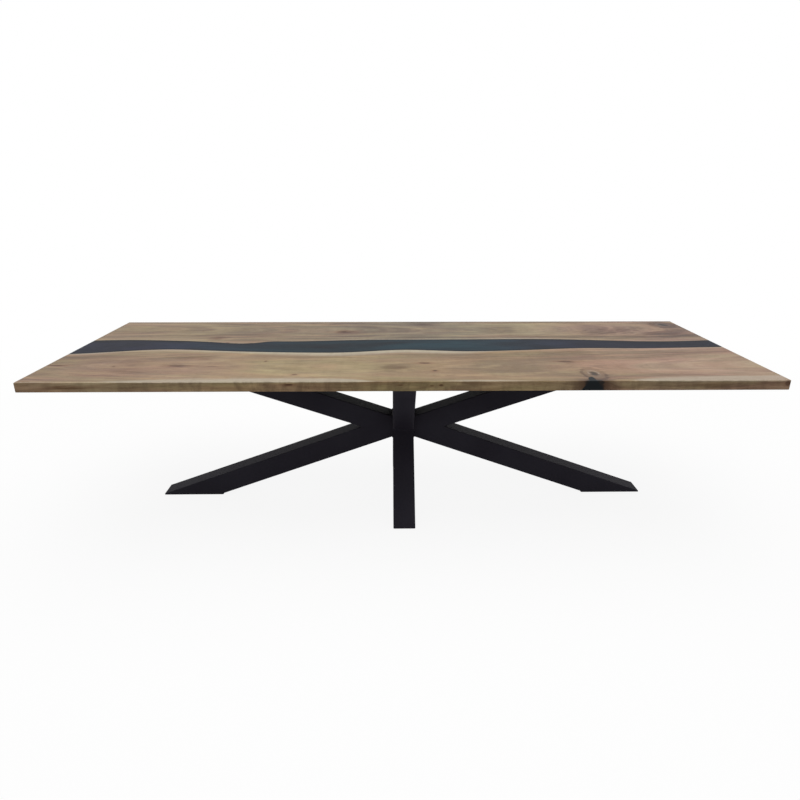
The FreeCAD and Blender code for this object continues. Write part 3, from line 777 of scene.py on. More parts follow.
def natural_edge(board: str, stations: int = 25) -> list[tuple[float, float]]:
    """Read the line of a board's natural edge from its solid's top face.

    Args:
        board: The board's node.
        stations: How many places along the table are read.

    Returns:
        Pairs of the place along the table and the edge's place across it.
    """
    corners = [corner.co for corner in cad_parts[board].data.vertices]
    top = max(corner.z for corner in corners)
    rim = sorted({(round(c.x, 5), round(c.y, 5)) for c in corners
                  if c.z > top - 0.1 * MM and abs(c.y) < BANK_RANGE[1]})
    start, end = rim[0][0], rim[-1][0]
    edge = []
    for number in range(stations):
        x = start + (end - start) * number / (stations - 1)
        after = next(i for i in range(1, len(rim)) if rim[i][0] >= x - MM * MM)
        (x0, y0), (x1, y1) = rim[after - 1], rim[after]
        share = (x - x0) / (x1 - x0) if x1 > x0 else 0.0
        edge.append((x, y0 + (y1 - y0) * share))
    return edge


def dress(node: str, material: bpy.types.Material) -> None:
    """Give a CAD node its finish.

    Args:
        node: The node's name.
        material: The finish.
    """
    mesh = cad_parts[node].data
    mesh.materials.clear()
    mesh.materials.append(material)
    LOG.info("%s dressed in %s", node, material.name)


class Bench:
    """The bench that new pieces are modelled on, with Blender's own tools."""

    @staticmethod
    def clear() -> None:
        """Let go of everything that is selected."""
        if bpy.context.object is not None and bpy.context.object.mode != "OBJECT":
            Bench.done()
        bpy.ops.object.select_all(action="DESELECT")

    @staticmethod
    def hold(piece: bpy.types.Object) -> None:
        """Select one piece alone, ready to be worked on.

        Args:
            piece: The piece.
        """
        Bench.clear()
        piece.select_set(True)
        bpy.context.view_layer.objects.active = piece

    @staticmethod
    def done() -> None:
        """Stop editing."""
        bpy.ops.object.mode_set(mode="OBJECT")

    @staticmethod
    def rod(sides: int, radius: float, bottom: float, top: float) -> bpy.types.Object:
        """Start an upright rod on the Z axis.

        Args:
            sides: How many sides it has.
            radius: Its radius over the corners.
            bottom: The level of its lower end.
            top: The level of its upper end.

        Returns:
            The rod.
        """
        Bench.clear()
        bpy.ops.mesh.primitive_cylinder_add(vertices=sides, radius=radius, depth=top - bottom,
                                            location=(0, 0, (top + bottom) / 2))
        return Bench.settle(bpy.context.object)

    @staticmethod
    def settle(piece: bpy.types.Object) -> bpy.types.Object:
        """Put a piece's place into its mesh.

        Args:
            piece: The piece.

        Returns:
            The same piece, its object at the origin.
        """
        Bench.hold(piece)
        bpy.ops.object.transform_apply(location=True, rotation=True, scale=True)
        return piece

    @staticmethod
    def pick(piece: bpy.types.Object, faces: bool, test: Callable[[Sequence[Vector]], bool]) -> None:
        """Select the faces or edges whose corners pass a test, and start to edit them.

        Args:
            piece: The piece.
            faces: True for faces, False for edges.
            test: The test.
        """
        Bench.hold(piece)
        mesh = piece.data
        for parts in (mesh.vertices, mesh.edges, mesh.polygons):
            parts.foreach_set("select", [False] * len(parts))
        bpy.context.tool_settings.mesh_select_mode = (False, not faces, faces)
        for part in mesh.polygons if faces else mesh.edges:
            part.select = test([mesh.vertices[corner].co for corner in part.vertices])
        bpy.ops.object.mode_set(mode="EDIT")

    @staticmethod
    def pick_top(piece: bpy.types.Object) -> None:
        """Select the flat face on top of a piece, and start to edit it."""
        level = max(corner.co.z for corner in piece.data.vertices)
        Bench.pick(piece, True, lambda corners: all(at.z > level - SLIGHT for at in corners))

    @staticmethod
    def round_rim(piece: bpy.types.Object, level: float, size: float, steps: int) -> None:
        """Round the edges that lie at one level.

        Args:
            piece: The piece.
            level: The level.
            size: The size of the rounding.
            steps: How many faces it has.
        """
        Bench.pick(piece, False, lambda corners: all(abs(at.z - level) < SLIGHT for at in corners))
        bpy.ops.mesh.bevel(offset=size, segments=steps, affect="EDGES")
        Bench.done()

    @staticmethod
    def push(rise: float) -> None:
        """Extrude what is selected up or down."""
        bpy.ops.mesh.extrude_region_move(TRANSFORM_OT_translate={"value": (0, 0, rise)})

    @staticmethod
    def spread(share: float) -> None:
        """Scale what is selected about its middle, in plan."""
        bpy.ops.transform.resize(value=(share, share, 1))

    @staticmethod
    def carve(piece: bpy.types.Object, tool: bpy.types.Object) -> None:
        """Cut one shape out of a piece.

        Args:
            piece: The piece.
            tool: The shape, which is used up.
        """
        Bench.hold(piece)
        cut = piece.modifiers.new("cut", "BOOLEAN")
        cut.operation = "DIFFERENCE"
        cut.object = tool
        bpy.ops.object.modifier_apply(modifier=cut.name)
        bpy.data.objects.remove(tool, do_unlink=True)

    @staticmethod
    def copies(piece: bpy.types.Object, places: Iterable[Matrix]) -> list[bpy.types.Object]:
        """Copy a piece, each copy with its own mesh.

        Args:
            piece: The piece.
            places: Where each copy goes.

        Returns:
            The copies.
        """
        made = []
        for where in places:
            copy = piece.copy()
            copy.data = piece.data.copy()
            bpy.context.scene.collection.objects.link(copy)
            copy.matrix_world = where
            made.append(Bench.settle(copy))
        return made

    @staticmethod
    def join(pieces: Sequence[bpy.types.Object]) -> bpy.types.Object:
        """Join several pieces in one.

        Args:
            pieces: The pieces, which are used up.

        Returns:
            The joined piece.
        """
        Bench.clear()
        for piece in pieces:
            piece.select_set(True)
        bpy.context.view_layer.objects.active = pieces[0]
        if len(pieces) > 1:
            bpy.ops.object.join()
        return pieces[0]

    @staticmethod
    def hand_over(piece: bpy.types.Object, name: str, body: str, slot: str, material: bpy.types.Material,
                  replaced: Sequence[str] = ()) -> None:
        """Finish a piece and fix it to its body.

        Args:
            piece: The piece.
            name: Its name.
            body: The body that it moves with.
            slot: Not used.
            material: Its finish.
            replaced: The nodes that it stands for.
        """
        Bench.settle(piece)
        bpy.ops.object.mode_set(mode="EDIT")
        bpy.ops.mesh.select_all(action="SELECT")
        bpy.ops.mesh.normals_make_consistent(inside=False)
        Bench.done()
        bpy.ops.object.shade_smooth_by_angle(angle=SMOOTH_ANGLE)
        piece.name = name
        piece.data.name = name
        piece.data.materials.clear()
        piece.data.materials.append(material)
        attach(piece, body)
        if replaced:
            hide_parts(*replaced)
        LOG.info("%s made in %s, %d faces", name, material.name, len(piece.data.polygons))


def plan_box(corners: Sequence[Vector]) -> tuple[float, float, float, float]:
    """Give the lowest and highest X of some corners, then their lowest and highest Y."""
    xs, ys = [at.x for at in corners], [at.y for at in corners]
    return min(xs), max(xs), min(ys), max(ys)


def over_corners(flats: float) -> float:
    """Give the radius over a hexagon's corners from its width over its flats."""
    return flats / 2 / math.cos(math.pi / HEX_SIDES)


def centres_of(node: str, reach: float) -> list[tuple[float, float]]:
    """Find where the single parts of a node stand.

    Args:
        node: The node, with many like parts.
        reach: More than a part's width and less than the gap between two.

    Returns:
        The middle of each part in plan.
    """
    groups: list[list[Vector]] = []
    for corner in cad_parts[node].data.vertices:
        at = corner.co
        near = next((g for g in groups if (g[0].xy - at.xy).length < reach), None)
        if near is None:
            groups.append([at])
        else:
            near.append(at)
    boxes = [plan_box(group) for group in groups]
    return [((x0 + x1) / 2, (y0 + y1) / 2) for x0, x1, y0, y1 in boxes]


def outline_at(node: str, level: float) -> tuple[float, float, float, float]:
    """Measure a node's box in plan at one level.

    Args:
        node: The node.
        level: The level, at which the node has an end.

    Returns:
        The lowest and highest X, then the lowest and highest Y.
    """
    return plan_box([c.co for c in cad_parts[node].data.vertices if abs(c.co.z - level) < SLIGHT])


class Board(Enum):
    """The two walnut boards."""

    FRONT = "front_slab"
    REAR = "rear_slab"


@dataclass
class TableTop:
    """The two boards with the resin between them, and the filled knot."""

    half_width: float = 0.525
    surface: float = 0.76
    crack_depth: float = 0.01
    figure_depth: float = 0.03

    def _on_top(self, trace: Trace, rows: Sequence[Row]) -> list[Mark]:
        """List marks of one kind in the top surface.

        Args:
            trace: What they are.
            rows: Each one's place along and across the table, its reach both ways and its strength.

        Returns:
            The marks.
        """
        depth = self.crack_depth if trace is Trace.CRACK else self.figure_depth
        return [Mark(trace, (x, y, self.surface), (along, across, depth), strength)
                for x, y, along, across, strength in rows]

    def _on_face(self, trace: Trace, rows: Sequence[Row]) -> list[Mark]:
        """List marks of one kind in the front face.

        Args:
            trace: What they are.
            rows: Each one's place along the table and its level, its reach along, inwards and up, and
                its strength.

        Returns:
            The marks.
        """
        return [Mark(trace, (x, -self.half_width, z), (along, inwards, up), strength)
                for x, z, along, inwards, up, strength in rows]

    def _front_marks(self) -> list[Mark]:
        """List the front board's marks.

        Returns:
            The marks.
        """
        return [
            *self._on_top(Trace.KNOT, [(0.757, -0.435, 0.042, 0.07, 0.8)]),
            *self._on_face(Trace.BARK, [(0.731, 0.742, 0.04, 0.016, 0.06, 1.0)]),
            *self._on_top(Trace.CRACK, [
                (0.690, -0.263, 0.05, 0.012, 1.0), (-0.930, -0.310, 0.05, 0.012, 1.0),
                (-1.470, -0.298, 0.05, 0.012, 1.0), (0.089, -0.277, 0.03, 0.012, 1.0),
                (0.122, -0.387, 0.014, 0.012, 1.0), (-0.445, -0.433, 0.016, 0.009, 0.8),
                (-1.212, -0.311, 0.01, 0.012, 0.6), (-0.594, -0.242, 0.009, 0.014, 0.6),
                (-0.799, -0.318, 0.05, 0.007, 0.5)]),
            *self._on_top(Trace.FIGURE, [
                (-0.866, -0.206, 0.05, 0.03, 0.6), (-0.93, -0.175, 0.13, 0.045, 0.8),
                (-1.15, -0.39, 0.18, 0.03, 0.5), (-0.04, -0.345, 0.085, 0.055, 0.9),
                (0.764, -0.11, 0.10, 0.025, 0.5)]),
            *self._on_face(Trace.FIGURE, [
                (-1.31, 0.742, 0.11, 0.02, 0.014, 0.9), (1.19, 0.742, 0.08, 0.02, 0.02, 0.5)]),
            *self._on_face(Trace.CRACK, [
                (-0.449, 0.748, 0.022, 0.008, 0.006, 1.0), (-0.022, 0.746, 0.012, 0.006, 0.004, 0.6),
                (0.100, 0.742, 0.012, 0.006, 0.004, 0.5), (0.136, 0.745, 0.009, 0.006, 0.006, 0.8),
                (1.488, 0.747, 0.014, 0.01, 0.013, 0.7)]),
        ]

    def _rear_marks(self) -> list[Mark]:
        """List the rear board's marks.

        Returns:
            The marks.
        """
        return [
            *self._on_top(Trace.KNOT, [(1.415, 0.43, 0.06, 0.06, 0.9)]),
            *self._on_top(Trace.FIGURE, [
                (1.415, 0.43, 0.10, 0.08, 1.0), (1.22, 0.27, 0.34, 0.13, 1.0),
                (0.125, 0.455, 0.10, 0.05, 1.0), (-0.45, 0.46, 0.16, 0.04, 0.8),
                (-0.291, 0.284, 0.12, 0.05, 0.7), (-0.908, 0.16, 0.07, 0.05, 0.9)]),
            *self._on_top(Trace.CRACK, [
                (-0.291, 0.284, 0.06, 0.032, 1.0), (-0.908, 0.165, 0.025, 0.01, 0.8),
                (-0.842, 0.072, 0.012, 0.008, 0.55), (-0.798, 0.063, 0.006, 0.006, 0.6),
                (-0.733, 0.064, 0.016, 0.007, 0.5)]),
        ]

    def build(self) -> None:
        """Dress the boards and the resin."""
        banks = {board: natural_edge(board.value) for board in Board}
        front = Walnut(
            name="walnut_front", bank=banks[Board.FRONT], side=-1.0, pith=(-0.31, 0.55), pith_slope=0.03,
            offset=(3.1, 7.7, 1.3),
            bank_sapwood=[(-1.5, 0.005), (-0.9, 0.015), (-0.5, 0.04), (0.0, 0.055), (0.25, 0.045),
                          (0.45, 0.01), (0.9, 0.0), (1.5, 0.0)],
            heart_shade=[(-1.5, 0.6), (-1.13, 0.55), (-0.85, 0.25), (-0.58, 0.6), (-0.3, 0.6), (0.0, 0.5),
                         (0.25, 0.65), (0.45, 1.0), (0.65, 0.9), (0.82, 0.6), (0.95, 0.0), (1.5, 0.0)],
            edge_sapwood=[(-1.5, 0.0), (-1.1, 0.02), (-0.9, 0.045), (-0.6, 0.05), (-0.25, 0.045),
                          (-0.02, -0.01), (0.12, 0.0), (0.3, 0.02), (0.5, 0.0), (0.66, -0.05),
                          (0.82, -0.015), (1.05, 0.05), (1.5, 0.065)],
            rosy=[(-1.5, 0.5), (-1.0, 0.45), (-0.6, 0.1), (0.2, 0.0), (0.6, 0.4), (1.0, 0.75), (1.5, 0.85)],
            olive=[(-1.5, 0.0), (-0.9, 0.3), (-0.4, 0.95), (0.2, 1.0), (0.5, 0.7), (0.8, 0.1), (1.5, 0.0)],
            dim=[(-1.5, 0.29), (-1.0, 0.2), (-0.4, 0.0), (0.1, 0.14), (0.35, 0.1), (0.7, 0.08), (1.1, 0.36),
                 (1.5, 0.36)],
            contrast=[(-1.5, 0.75), (-0.9, 0.6), (-0.3, 0.5), (0.5, 0.5), (0.9, 0.7), (1.5, 0.75)],
            marks=self._front_marks(), outer_edge=-self.half_width, top=self.surface,
            figure=Coat(0.1, 1.2, 1.0, (0.52, 0.42, 0.35, 1.0), "MULTIPLY"))
        rear = Walnut(
            name="walnut_rear", bank=banks[Board.REAR], side=1.0, pith=(0.34, 0.60), pith_slope=-0.05,
            offset=(-2.3, 4.9, 6.1),
            bank_sapwood=[(-1.5, -0.012), (-0.6, -0.006), (-0.3, 0.008), (0.0, 0.014), (0.75, 0.018),
                          (1.0, -0.012), (1.5, -0.03)],
            heart_shade=[(-1.5, 0.45), (-1.0, 0.45), (-0.6, 0.1), (-0.3, 0.0), (0.2, 0.0), (0.4, 0.1),
                         (0.8, 0.15), (1.0, 0.6), (1.2, 0.95), (1.5, 0.9)],
            edge_sapwood=[(-1.5, -0.05), (0.0, -0.05), (1.5, -0.05)],
            rosy=[(-1.5, 0.35), (-0.5, 0.2), (0.5, 0.1), (0.8, 0.3), (1.1, 0.85), (1.5, 1.0)],
            olive=[(-1.5, 0.0), (-0.5, 0.1), (0.3, 0.3), (1.5, 0.0)],
            dim=[(-1.5, 0.36), (-0.8, 0.42), (-0.45, 0.7), (0.2, 1.0), (0.55, 0.55), (0.9, 0.45),
                 (1.5, 0.4)],
            contrast=[(-1.5, 0.6), (-0.6, 0.75), (0.2, 0.95), (0.8, 0.9), (1.5, 0.95)],
            marks=self._rear_marks(), outer_edge=self.half_width, top=self.surface,
            rose_tint=(1.3, 1.14, 1.5, 1.0))
        dress(Board.FRONT.value, front.material())
        dress(Board.REAR.value, rear.material())
        resin = DarkResin("slate_resin", banks[Board.FRONT], banks[Board.REAR]).material()
        dress("resin_river", resin)
        fill = DarkResin("knot_resin", banks[Board.FRONT], banks[Board.REAR], deep=tone(34, 36, 38),
                         slate=tone(52, 60, 64), violet=tone(48, 50, 56)).material()
        dress("knot_fill", fill)


class Place(Enum):
    """The four ends of the base."""

    LEFT = "left"
    RIGHT = "right"
    FRONT = "front"
    REAR = "rear"


UPPER_TUBES = {
    Place.LEFT: "left_upper_arm",
    Place.RIGHT: "right_upper_arm",
    Place.FRONT: "cross_front_upper_tube",
    Place.REAR: "cross_tube",
}


@dataclass
class SteelWork:
    """The welded base with its seams, its plates and the channels under the top."""

    bead_radius: float = 4.5 * MM
    bead_sides: int = 10
    ripple: float = 1.7 * MM
    swell: float = 1.09
    half_tube: float = 50 * MM

    def build(self) -> None:
        """Dress the base and lay its weld seams."""
        coat = PowderCoat("black_powder_coat").material()
        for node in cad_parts:
            if node.endswith(("_tube", "_arm", "_plate", "_channel")):
                dress(node, coat)
        for place in Place:
            seam = self._plate_seam(place)
            Bench.hand_over(seam, f"{place.value}_plate_weld", "table", "powder_coat", coat)
        Bench.hand_over(self._hub_seam(), "hub_weld", "table", "powder_coat", coat)

    def _bead(self, start: Vector, end: Vector) -> bpy.types.Object:
        """Lay one straight bead with its ripples.

        Args:
            start: Where it starts.
            end: Where it ends.

        Returns:
            The bead.
        """
        run = end - start
        steps = 2 * max(2, round(run.length / (2 * self.ripple)))
        Bench.clear()
        bpy.ops.mesh.primitive_circle_add(vertices=self.bead_sides, radius=self.bead_radius,
                                          fill_type="NGON")
        bead = bpy.context.object
        bpy.ops.object.mode_set(mode="EDIT")
        for step in range(steps):
            Bench.push(run.length / steps)
            Bench.spread(self.swell if step % 2 == 0 else 1 / self.swell)
        Bench.done()
        bead.matrix_world = Matrix.Translation(start) @ run.to_track_quat("Z", "Y").to_matrix().to_4x4()
        return Bench.settle(bead)

    def _loop(self, corners: Sequence[Vector]) -> list[bpy.types.Object]:
        """Lay beads round a closed line of corners."""
        return [self._bead(start, end) for start, end in zip(corners, [*corners[1:], corners[0]])]

    def _plate_seam(self, place: Place) -> bpy.types.Object:
        """Weld one mounting plate to its tube.

        Args:
            place: The end of the base.

        Returns:
            The seam.
        """
        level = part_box(f"{place.value}_mounting_plate")[0].z
        x0, x1, y0, y1 = outline_at(UPPER_TUBES[place], level)
        plan = [(x0, y0), (x1, y0), (x1, y1), (x0, y1)]
        return Bench.join(self._loop([Vector((x, y, level)) for x, y in plan]))

    def _hub_seam(self) -> bpy.types.Object:
        """Weld the arms to the crossed frame, and the frame's halves to its long tube.

        Returns:
            The seams of the hub.
        """
        side = self.half_tube
        beads: list[bpy.types.Object] = []
        for sign, upper, lower in ((-1, "left_upper_arm", "left_lower_arm"),
                                   (1, "right_upper_arm", "right_lower_arm")):
            levels = [c.co.z for node in (upper, lower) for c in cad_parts[node].data.vertices
                      if abs(abs(c.co.x) - side) < SLIGHT]
            low, high = min(levels), max(levels)
            plan = [(-side, low), (side, low), (side, high), (-side, high)]
            beads += self._loop([Vector((sign * side, y, z)) for y, z in plan])
        for node in ("cross_front_upper_tube", "cross_rear_lower_tube"):
            beads += self._cross_seam(node)
        return Bench.join(beads)

    def _cross_seam(self, node: str) -> list[bpy.types.Object]:
        """Weld one half tube to the long tube of the crossed frame.

        Args:
            node: The half tube.

        Returns:
            The two beads across the tube, at the two ends of its seat.
        """
        side = self.half_tube
        seat = [c.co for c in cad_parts[node].data.vertices if abs(c.co.y) < 2 * side]
        ends = (min(seat, key=lambda at: at.z), max(seat, key=lambda at: at.z))
        return [self._bead(Vector((-side, at.y, at.z)), Vector((side, at.y, at.z))) for at in ends]


@dataclass
class LevellingFeet:
    """The four screw-in feet: a threaded stud with a spanner hexagon, turning in a nylon pad."""

    pad_radius: float = 20 * MM
    pad_height: float = 5 * MM
    pad_round: float = 0.8 * MM
    neck_radius: float = 5.5 * MM
    pad_roof: float = 1.2 * MM
    room_radius: float = 9.3 * MM
    room_height: float = 2.6 * MM
    flange_radius: float = 9 * MM
    flange_bottom: float = 1.5 * MM
    flange_top: float = 3.5 * MM
    hex_flats: float = 13 * MM
    hex_bottom: float = 5.3 * MM
    hex_top: float = 9.3 * MM
    stud_radius: float = 5 * MM
    stud_top: float = 45 * MM
    pitch: float = 1.5 * MM
    thread_depth: float = 0.9 * MM
    steps_a_turn: int = 12
    lead: float = 0.72
    flange_round: float = 0.3 * MM
    hex_round: float = 0.4 * MM
    pad_sides: int = 64
    flange_sides: int = 40
    thread_sides: int = 24

    def build(self) -> None:
        """Model a foot once and set its copies under the base."""
        zinc = ZincPlate("zinc_plate_feet").material()
        nylon = MouldedNylon("moulded_nylon").material()
        stud = self._stud()
        pad = self._pad()
        for place in Place:
            name = place.value
            low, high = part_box(f"{name}_glide_pad")
            where = [Matrix.Translation(((low.x + high.x) / 2, (low.y + high.y) / 2, 0))]
            stud_copy = Bench.copies(stud, where)[0]
            pad_copy = Bench.copies(pad, where)[0]
            Bench.hand_over(stud_copy, f"{name}_threaded_stud", f"{name}_stud", "zinc_steel", zinc,
                            [f"{name}_glide_stud"])
            Bench.hand_over(pad_copy, f"{name}_nylon_pad", f"{name}_pad", "nylon", nylon,
                            [f"{name}_glide_pad"])
        for pattern in (stud, pad):
            bpy.data.objects.remove(pattern, do_unlink=True)

    def _pad(self) -> bpy.types.Object:
        """Model the pad, hollow where the stud's flange turns.

        Returns:
            The pad, standing on the origin.
        """
        pad = Bench.rod(self.pad_sides, self.pad_radius, 0.0, self.pad_height)
        Bench.round_rim(pad, self.pad_height, self.pad_round, 3)
        Bench.round_rim(pad, 0.0, self.pad_round / 2, 2)
        Bench.pick_top(pad)
        bpy.ops.mesh.inset(thickness=self.pad_radius - self.pad_round - self.neck_radius)
        Bench.push(-self.pad_roof)
        Bench.push(0.0)
        Bench.spread(self.room_radius / self.neck_radius)
        Bench.push(-self.room_height)
        Bench.done()
        return pad

    def _stud(self) -> bpy.types.Object:
        """Model the stud: its flange, spanner hexagon and screw thread.

        Returns:
            The stud, standing over the origin.
        """
        flange = Bench.rod(self.flange_sides, self.flange_radius, self.flange_bottom, self.flange_top)
        for level in (self.flange_bottom, self.flange_top):
            Bench.round_rim(flange, level, self.flange_round, 2)
        Bench.pick_top(flange)
        bpy.ops.mesh.inset(thickness=self.flange_radius - self.flange_round - self.stud_radius)
        Bench.push(self.hex_bottom - self.flange_top)
        Bench.done()
        spanner = Bench.rod(HEX_SIDES, over_corners(self.hex_flats), self.hex_bottom, self.hex_top)
        for level in (self.hex_bottom, self.hex_top):
            Bench.round_rim(spanner, level, self.hex_round, 2)
        return Bench.join([flange, spanner, self._thread()])

    def _thread(self) -> bpy.types.Object:
        """Model the screw thread, a round that stands off the axis and turns as it rises.

        Returns:
            The threaded rod.
        """
        Bench.clear()
        off_axis = self.thread_depth / 2
        bpy.ops.mesh.primitive_circle_add(vertices=self.thread_sides, radius=self.stud_radius - off_axis,
                                          fill_type="NGON", location=(off_axis, 0, self.hex_top))
        rod = Bench.settle(bpy.context.object)
        bpy.ops.object.mode_set(mode="EDIT")
        bpy.ops.mesh.select_all(action="SELECT")
        rise = self.pitch / self.steps_a_turn
        for _ in range(round((self.stud_top - self.hex_top - self.pitch) / rise)):
            Bench.push(rise)
            bpy.ops.transform.rotate(value=-2 * math.pi / self.steps_a_turn, orient_axis="Z",
                                     center_override=(0, 0, 0))
        Bench.push(self.pitch)
        Bench.spread(self.lead)
        Bench.done()
        return rod


@dataclass
class Fasteners:
    """The bolts of the mounting plates and the screws of the channels, with their washers and inserts."""

    head_radius: float = 7 * MM
    head_height: float = 5 * MM
    head_round: float = 2.6 * MM
    bolt_radius: float = 4 * MM
    socket_flats: float = 5 * MM
    socket_depth: float = 3 * MM
    screw_head_radius: float = 5 * MM
    screw_head_height: float = 3.5 * MM
    screw_round: float = 1.8 * MM
    screw_radius: float = 2.5 * MM
    recess_length: float = 5.4 * MM
    recess_width: float = 1.1 * MM
    recess_depth: float = 2 * MM
    apart: float = 20 * MM
    head_sides: int = 32
    crown_steps: int = 5
    point: float = 0.7

    def build(self) -> None:
        """Model a bolt and a screw once, set their copies, and dress the rest."""
        zinc = ZincPlate("zinc_plate").material()
        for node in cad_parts:
            if node.endswith(("_nut", "_washers", "_inserts")):
                dress(node, zinc)
        self._set("plate_bolts", "button_head_bolts", self._bolt, zinc)
        self._set("channel_screws", "pan_head_screws", self._screw, zinc)

    def _set(self, node: str, name: str, model: Callable[[float, float], bpy.types.Object],
             material: bpy.types.Material) -> None:
        """Set copies of a fastener where a node has them.

        Args:
            node: The node.
            name: The new piece's name.
            model: What models the fastener from its lowest and highest level.
            material: Its finish.
        """
        low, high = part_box(node)
        pattern = model(low.z, high.z)
        middles = centres_of(node, self.apart)
        row = Bench.copies(pattern, [Matrix.Translation((x, y, 0)) for x, y in middles])
        bpy.data.objects.remove(pattern, do_unlink=True)
        Bench.hand_over(Bench.join(row), name, "table", "zinc_steel", material, [node])

    def _turned(self, low: float, high: float, head: Triple, shank: float) -> bpy.types.Object:
        """Turn a round head, its crown downwards, with a shank above it.

        Args:
            low: The level of the crown.
            high: The level of the shank's end.
            head: The head's radius, height and rounding.
            shank: The shank's radius.

        Returns:
            The blank.
        """
        radius, height, crown = head
        blank = Bench.rod(self.head_sides, radius, low, low + height)
        Bench.round_rim(blank, low, crown, self.crown_steps)
        Bench.pick_top(blank)
        bpy.ops.mesh.inset(thickness=radius - shank)
        Bench.push(high - low - height - shank / 3)
        Bench.push(shank / 3)
        Bench.spread(self.point)
        Bench.done()
        return blank

    def _bolt(self, low: float, high: float) -> bpy.types.Object:
        """Model a bolt with a domed head and a hexagon socket.

        Args:
            low: The level of the head's crown.
            high: The level of the shank's end.

        Returns:
            The bolt on the Z axis.
        """
        head = (self.head_radius, self.head_height, self.head_round)
        bolt = self._turned(low, high, head, self.bolt_radius)
        socket = over_corners(self.socket_flats)
        Bench.carve(bolt, Bench.rod(HEX_SIDES, socket, low - MM, low + self.socket_depth))
        return bolt

    def _screw(self, low: float, high: float) -> bpy.types.Object:
        """Model a wood screw with a pan head and a cross recess.

        Args:
            low: The level of the head's crown.
            high: The level of the shank's end.

        Returns:
            The screw on the Z axis.
        """
        head = (self.screw_head_radius, self.screw_head_height, self.screw_round)
        screw = self._turned(low, high, head, self.screw_radius)
        sizes = (self.recess_length, self.recess_width)
        for along, wide in (sizes, sizes[::-1]):
            Bench.clear()
            bpy.ops.mesh.primitive_cube_add(size=1, location=(0, 0, low))
            slot = bpy.context.object
            slot.scale = (along, wide, 2 * self.recess_depth)
            Bench.carve(screw, Bench.settle(slot))
        return screw


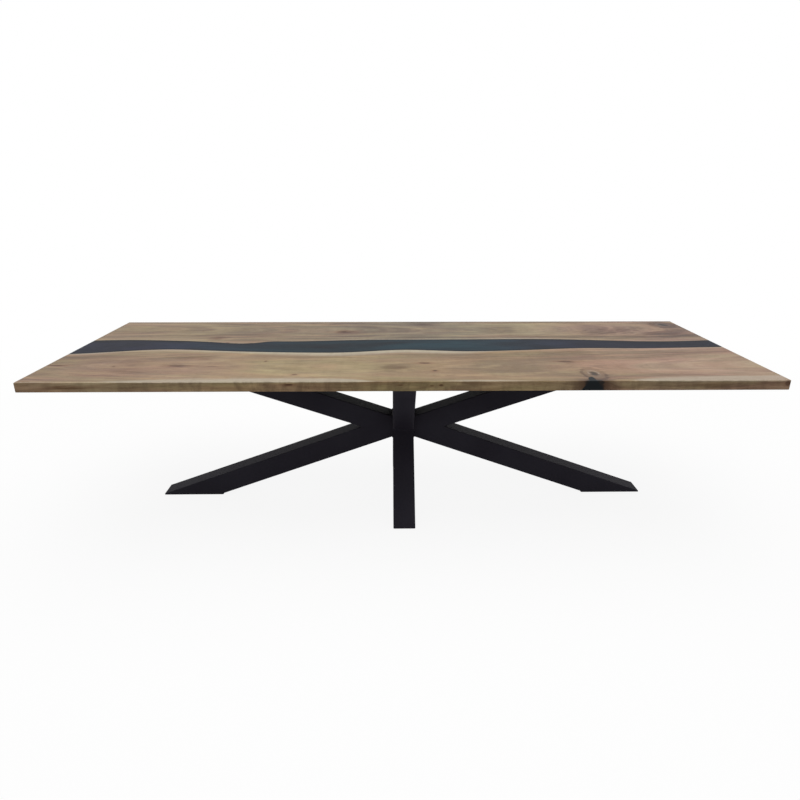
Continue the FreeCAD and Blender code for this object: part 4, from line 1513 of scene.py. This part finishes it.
@dataclass
class Studio:
    """The pale floor, the soft light and the camera."""

    eye: Triple = (-0.0562, -2.6436, 1.4659)
    yaw: float = 0.0156
    pitch: float = 0.3534
    roll: float = 0.0014
    focal_pixels: float = 579.87
    image_pixels: float = 800.0
    sensor: float = 36.0
    floor_half: float = 30.0
    fade_start: float = 1.2
    fade_end: float = 4.5
    floor_white: float = 0.9
    floor_grey: Colour = (0.5, 0.5, 0.5, 1.0)
    floor_pale: Colour = (0.95, 0.95, 0.95, 1.0)
    sky_strength: float = 0.49
    lamp_power: float = 105.0
    lamp_size: tuple[float, float] = (5.5, 3.6)
    lamp_at: Triple = (0.0, 0.1, 3.4)

    def build(self) -> None:
        """Set up the whole studio."""
        self._floor()
        self._world()
        self._lamp()
        self._camera()
        bpy.context.scene.view_settings.view_transform = "Standard"

    @staticmethod
    def _seen(paint: Paint) -> Shade:
        """Say whether a ray shows the background: from the camera, or by way of a gloss or a glass.

        Args:
            paint: The paint.

        Returns:
            1 where it does, otherwise 0.
        """
        ray = paint.node("ShaderNodeLightPath", output="Is Camera Ray")
        glossy = paint.maths("MAXIMUM", ray, ray.out("Is Glossy Ray"))
        return paint.maths("MAXIMUM", glossy, ray.out("Is Transmission Ray"))

    def _floor(self) -> None:
        """Lay the floor, which keeps the soft shadow near the table and goes to white further off."""
        Bench.clear()
        bpy.ops.mesh.primitive_plane_add(size=2 * self.floor_half, location=(0, 0, 0))
        floor = bpy.context.object
        floor.name = "studio_floor"
        paint = Paint.material("pale_floor")
        x, y, _ = paint.axes(paint.place())
        away = paint.maths("SQRT", x * x + y * y)
        share = self.floor_white + paint.rise(away, self.fade_start, self.fade_end) * (1 - self.floor_white)
        seen = self._seen(paint)
        matt = paint.node("ShaderNodeBsdfDiffuse",
                          inputs={"Color": paint.mix(seen, self.floor_grey, self.floor_pale)})
        white = paint.node("ShaderNodeEmission", inputs={"Color": WHITE, "Strength": 1.0})
        mixed = paint.node("ShaderNodeMixShader", inputs={0: seen * share, 1: matt, 2: white})
        paint.node("ShaderNodeOutputMaterial", inputs={"Surface": mixed})
        floor.data.materials.append(paint.owner)

    def _world(self) -> None:
        """Make the world white to the eye and grey as a light."""
        world = bpy.data.worlds.new("studio_world")
        bpy.context.scene.world = world
        paint = Paint(world)
        light = paint.node("ShaderNodeBackground",
                           inputs={"Color": WHITE, "Strength": self.sky_strength})
        white = paint.node("ShaderNodeBackground", inputs={"Color": WHITE, "Strength": 1.0})
        mixed = paint.node("ShaderNodeMixShader", inputs={0: self._seen(paint), 1: light, 2: white})
        paint.node("ShaderNodeOutputWorld", inputs={"Surface": mixed})

    def _lamp(self) -> None:
        """Hang one wide soft lamp over the table."""
        data = bpy.data.lights.new("overhead_softbox", "AREA")
        data.shape = "RECTANGLE"
        data.size, data.size_y = self.lamp_size
        data.energy = self.lamp_power
        lamp = bpy.data.objects.new("overhead_softbox", data)
        lamp.location = self.lamp_at
        lamp.visible_camera = False
        bpy.context.scene.collection.objects.link(lamp)

    def _camera(self) -> None:
        """Stand the camera where the photograph was taken from."""
        flat = math.cos(self.pitch)
        ahead = Vector((math.sin(self.yaw) * flat, math.cos(self.yaw) * flat, -math.sin(self.pitch)))
        level = Vector((math.cos(self.yaw), -math.sin(self.yaw), 0.0))
        upright = level.cross(ahead)
        right = level * math.cos(self.roll) + upright * math.sin(self.roll)
        up = upright * math.cos(self.roll) - level * math.sin(self.roll)
        data = bpy.data.cameras.new("photo_camera")
        data.sensor_width = self.sensor
        data.lens = self.focal_pixels * self.sensor / self.image_pixels
        camera = bpy.data.objects.new("photo_camera", data)
        turn = Matrix((right, up, -ahead)).transposed().to_4x4()
        camera.matrix_world = Matrix.Translation(self.eye) @ turn
        bpy.context.scene.collection.objects.link(camera)
        bpy.context.scene.camera = camera


def main() -> None:
    """Build the table's finishes and the studio."""
    logging.basicConfig(level=logging.INFO, format="%(name)s: %(message)s")
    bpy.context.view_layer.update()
    TableTop().build()
    SteelWork().build()
    LevellingFeet().build()
    Fasteners().build()
    Studio().build()
    LOG.info("sizes written")


if __name__ == "__main__":
    main()
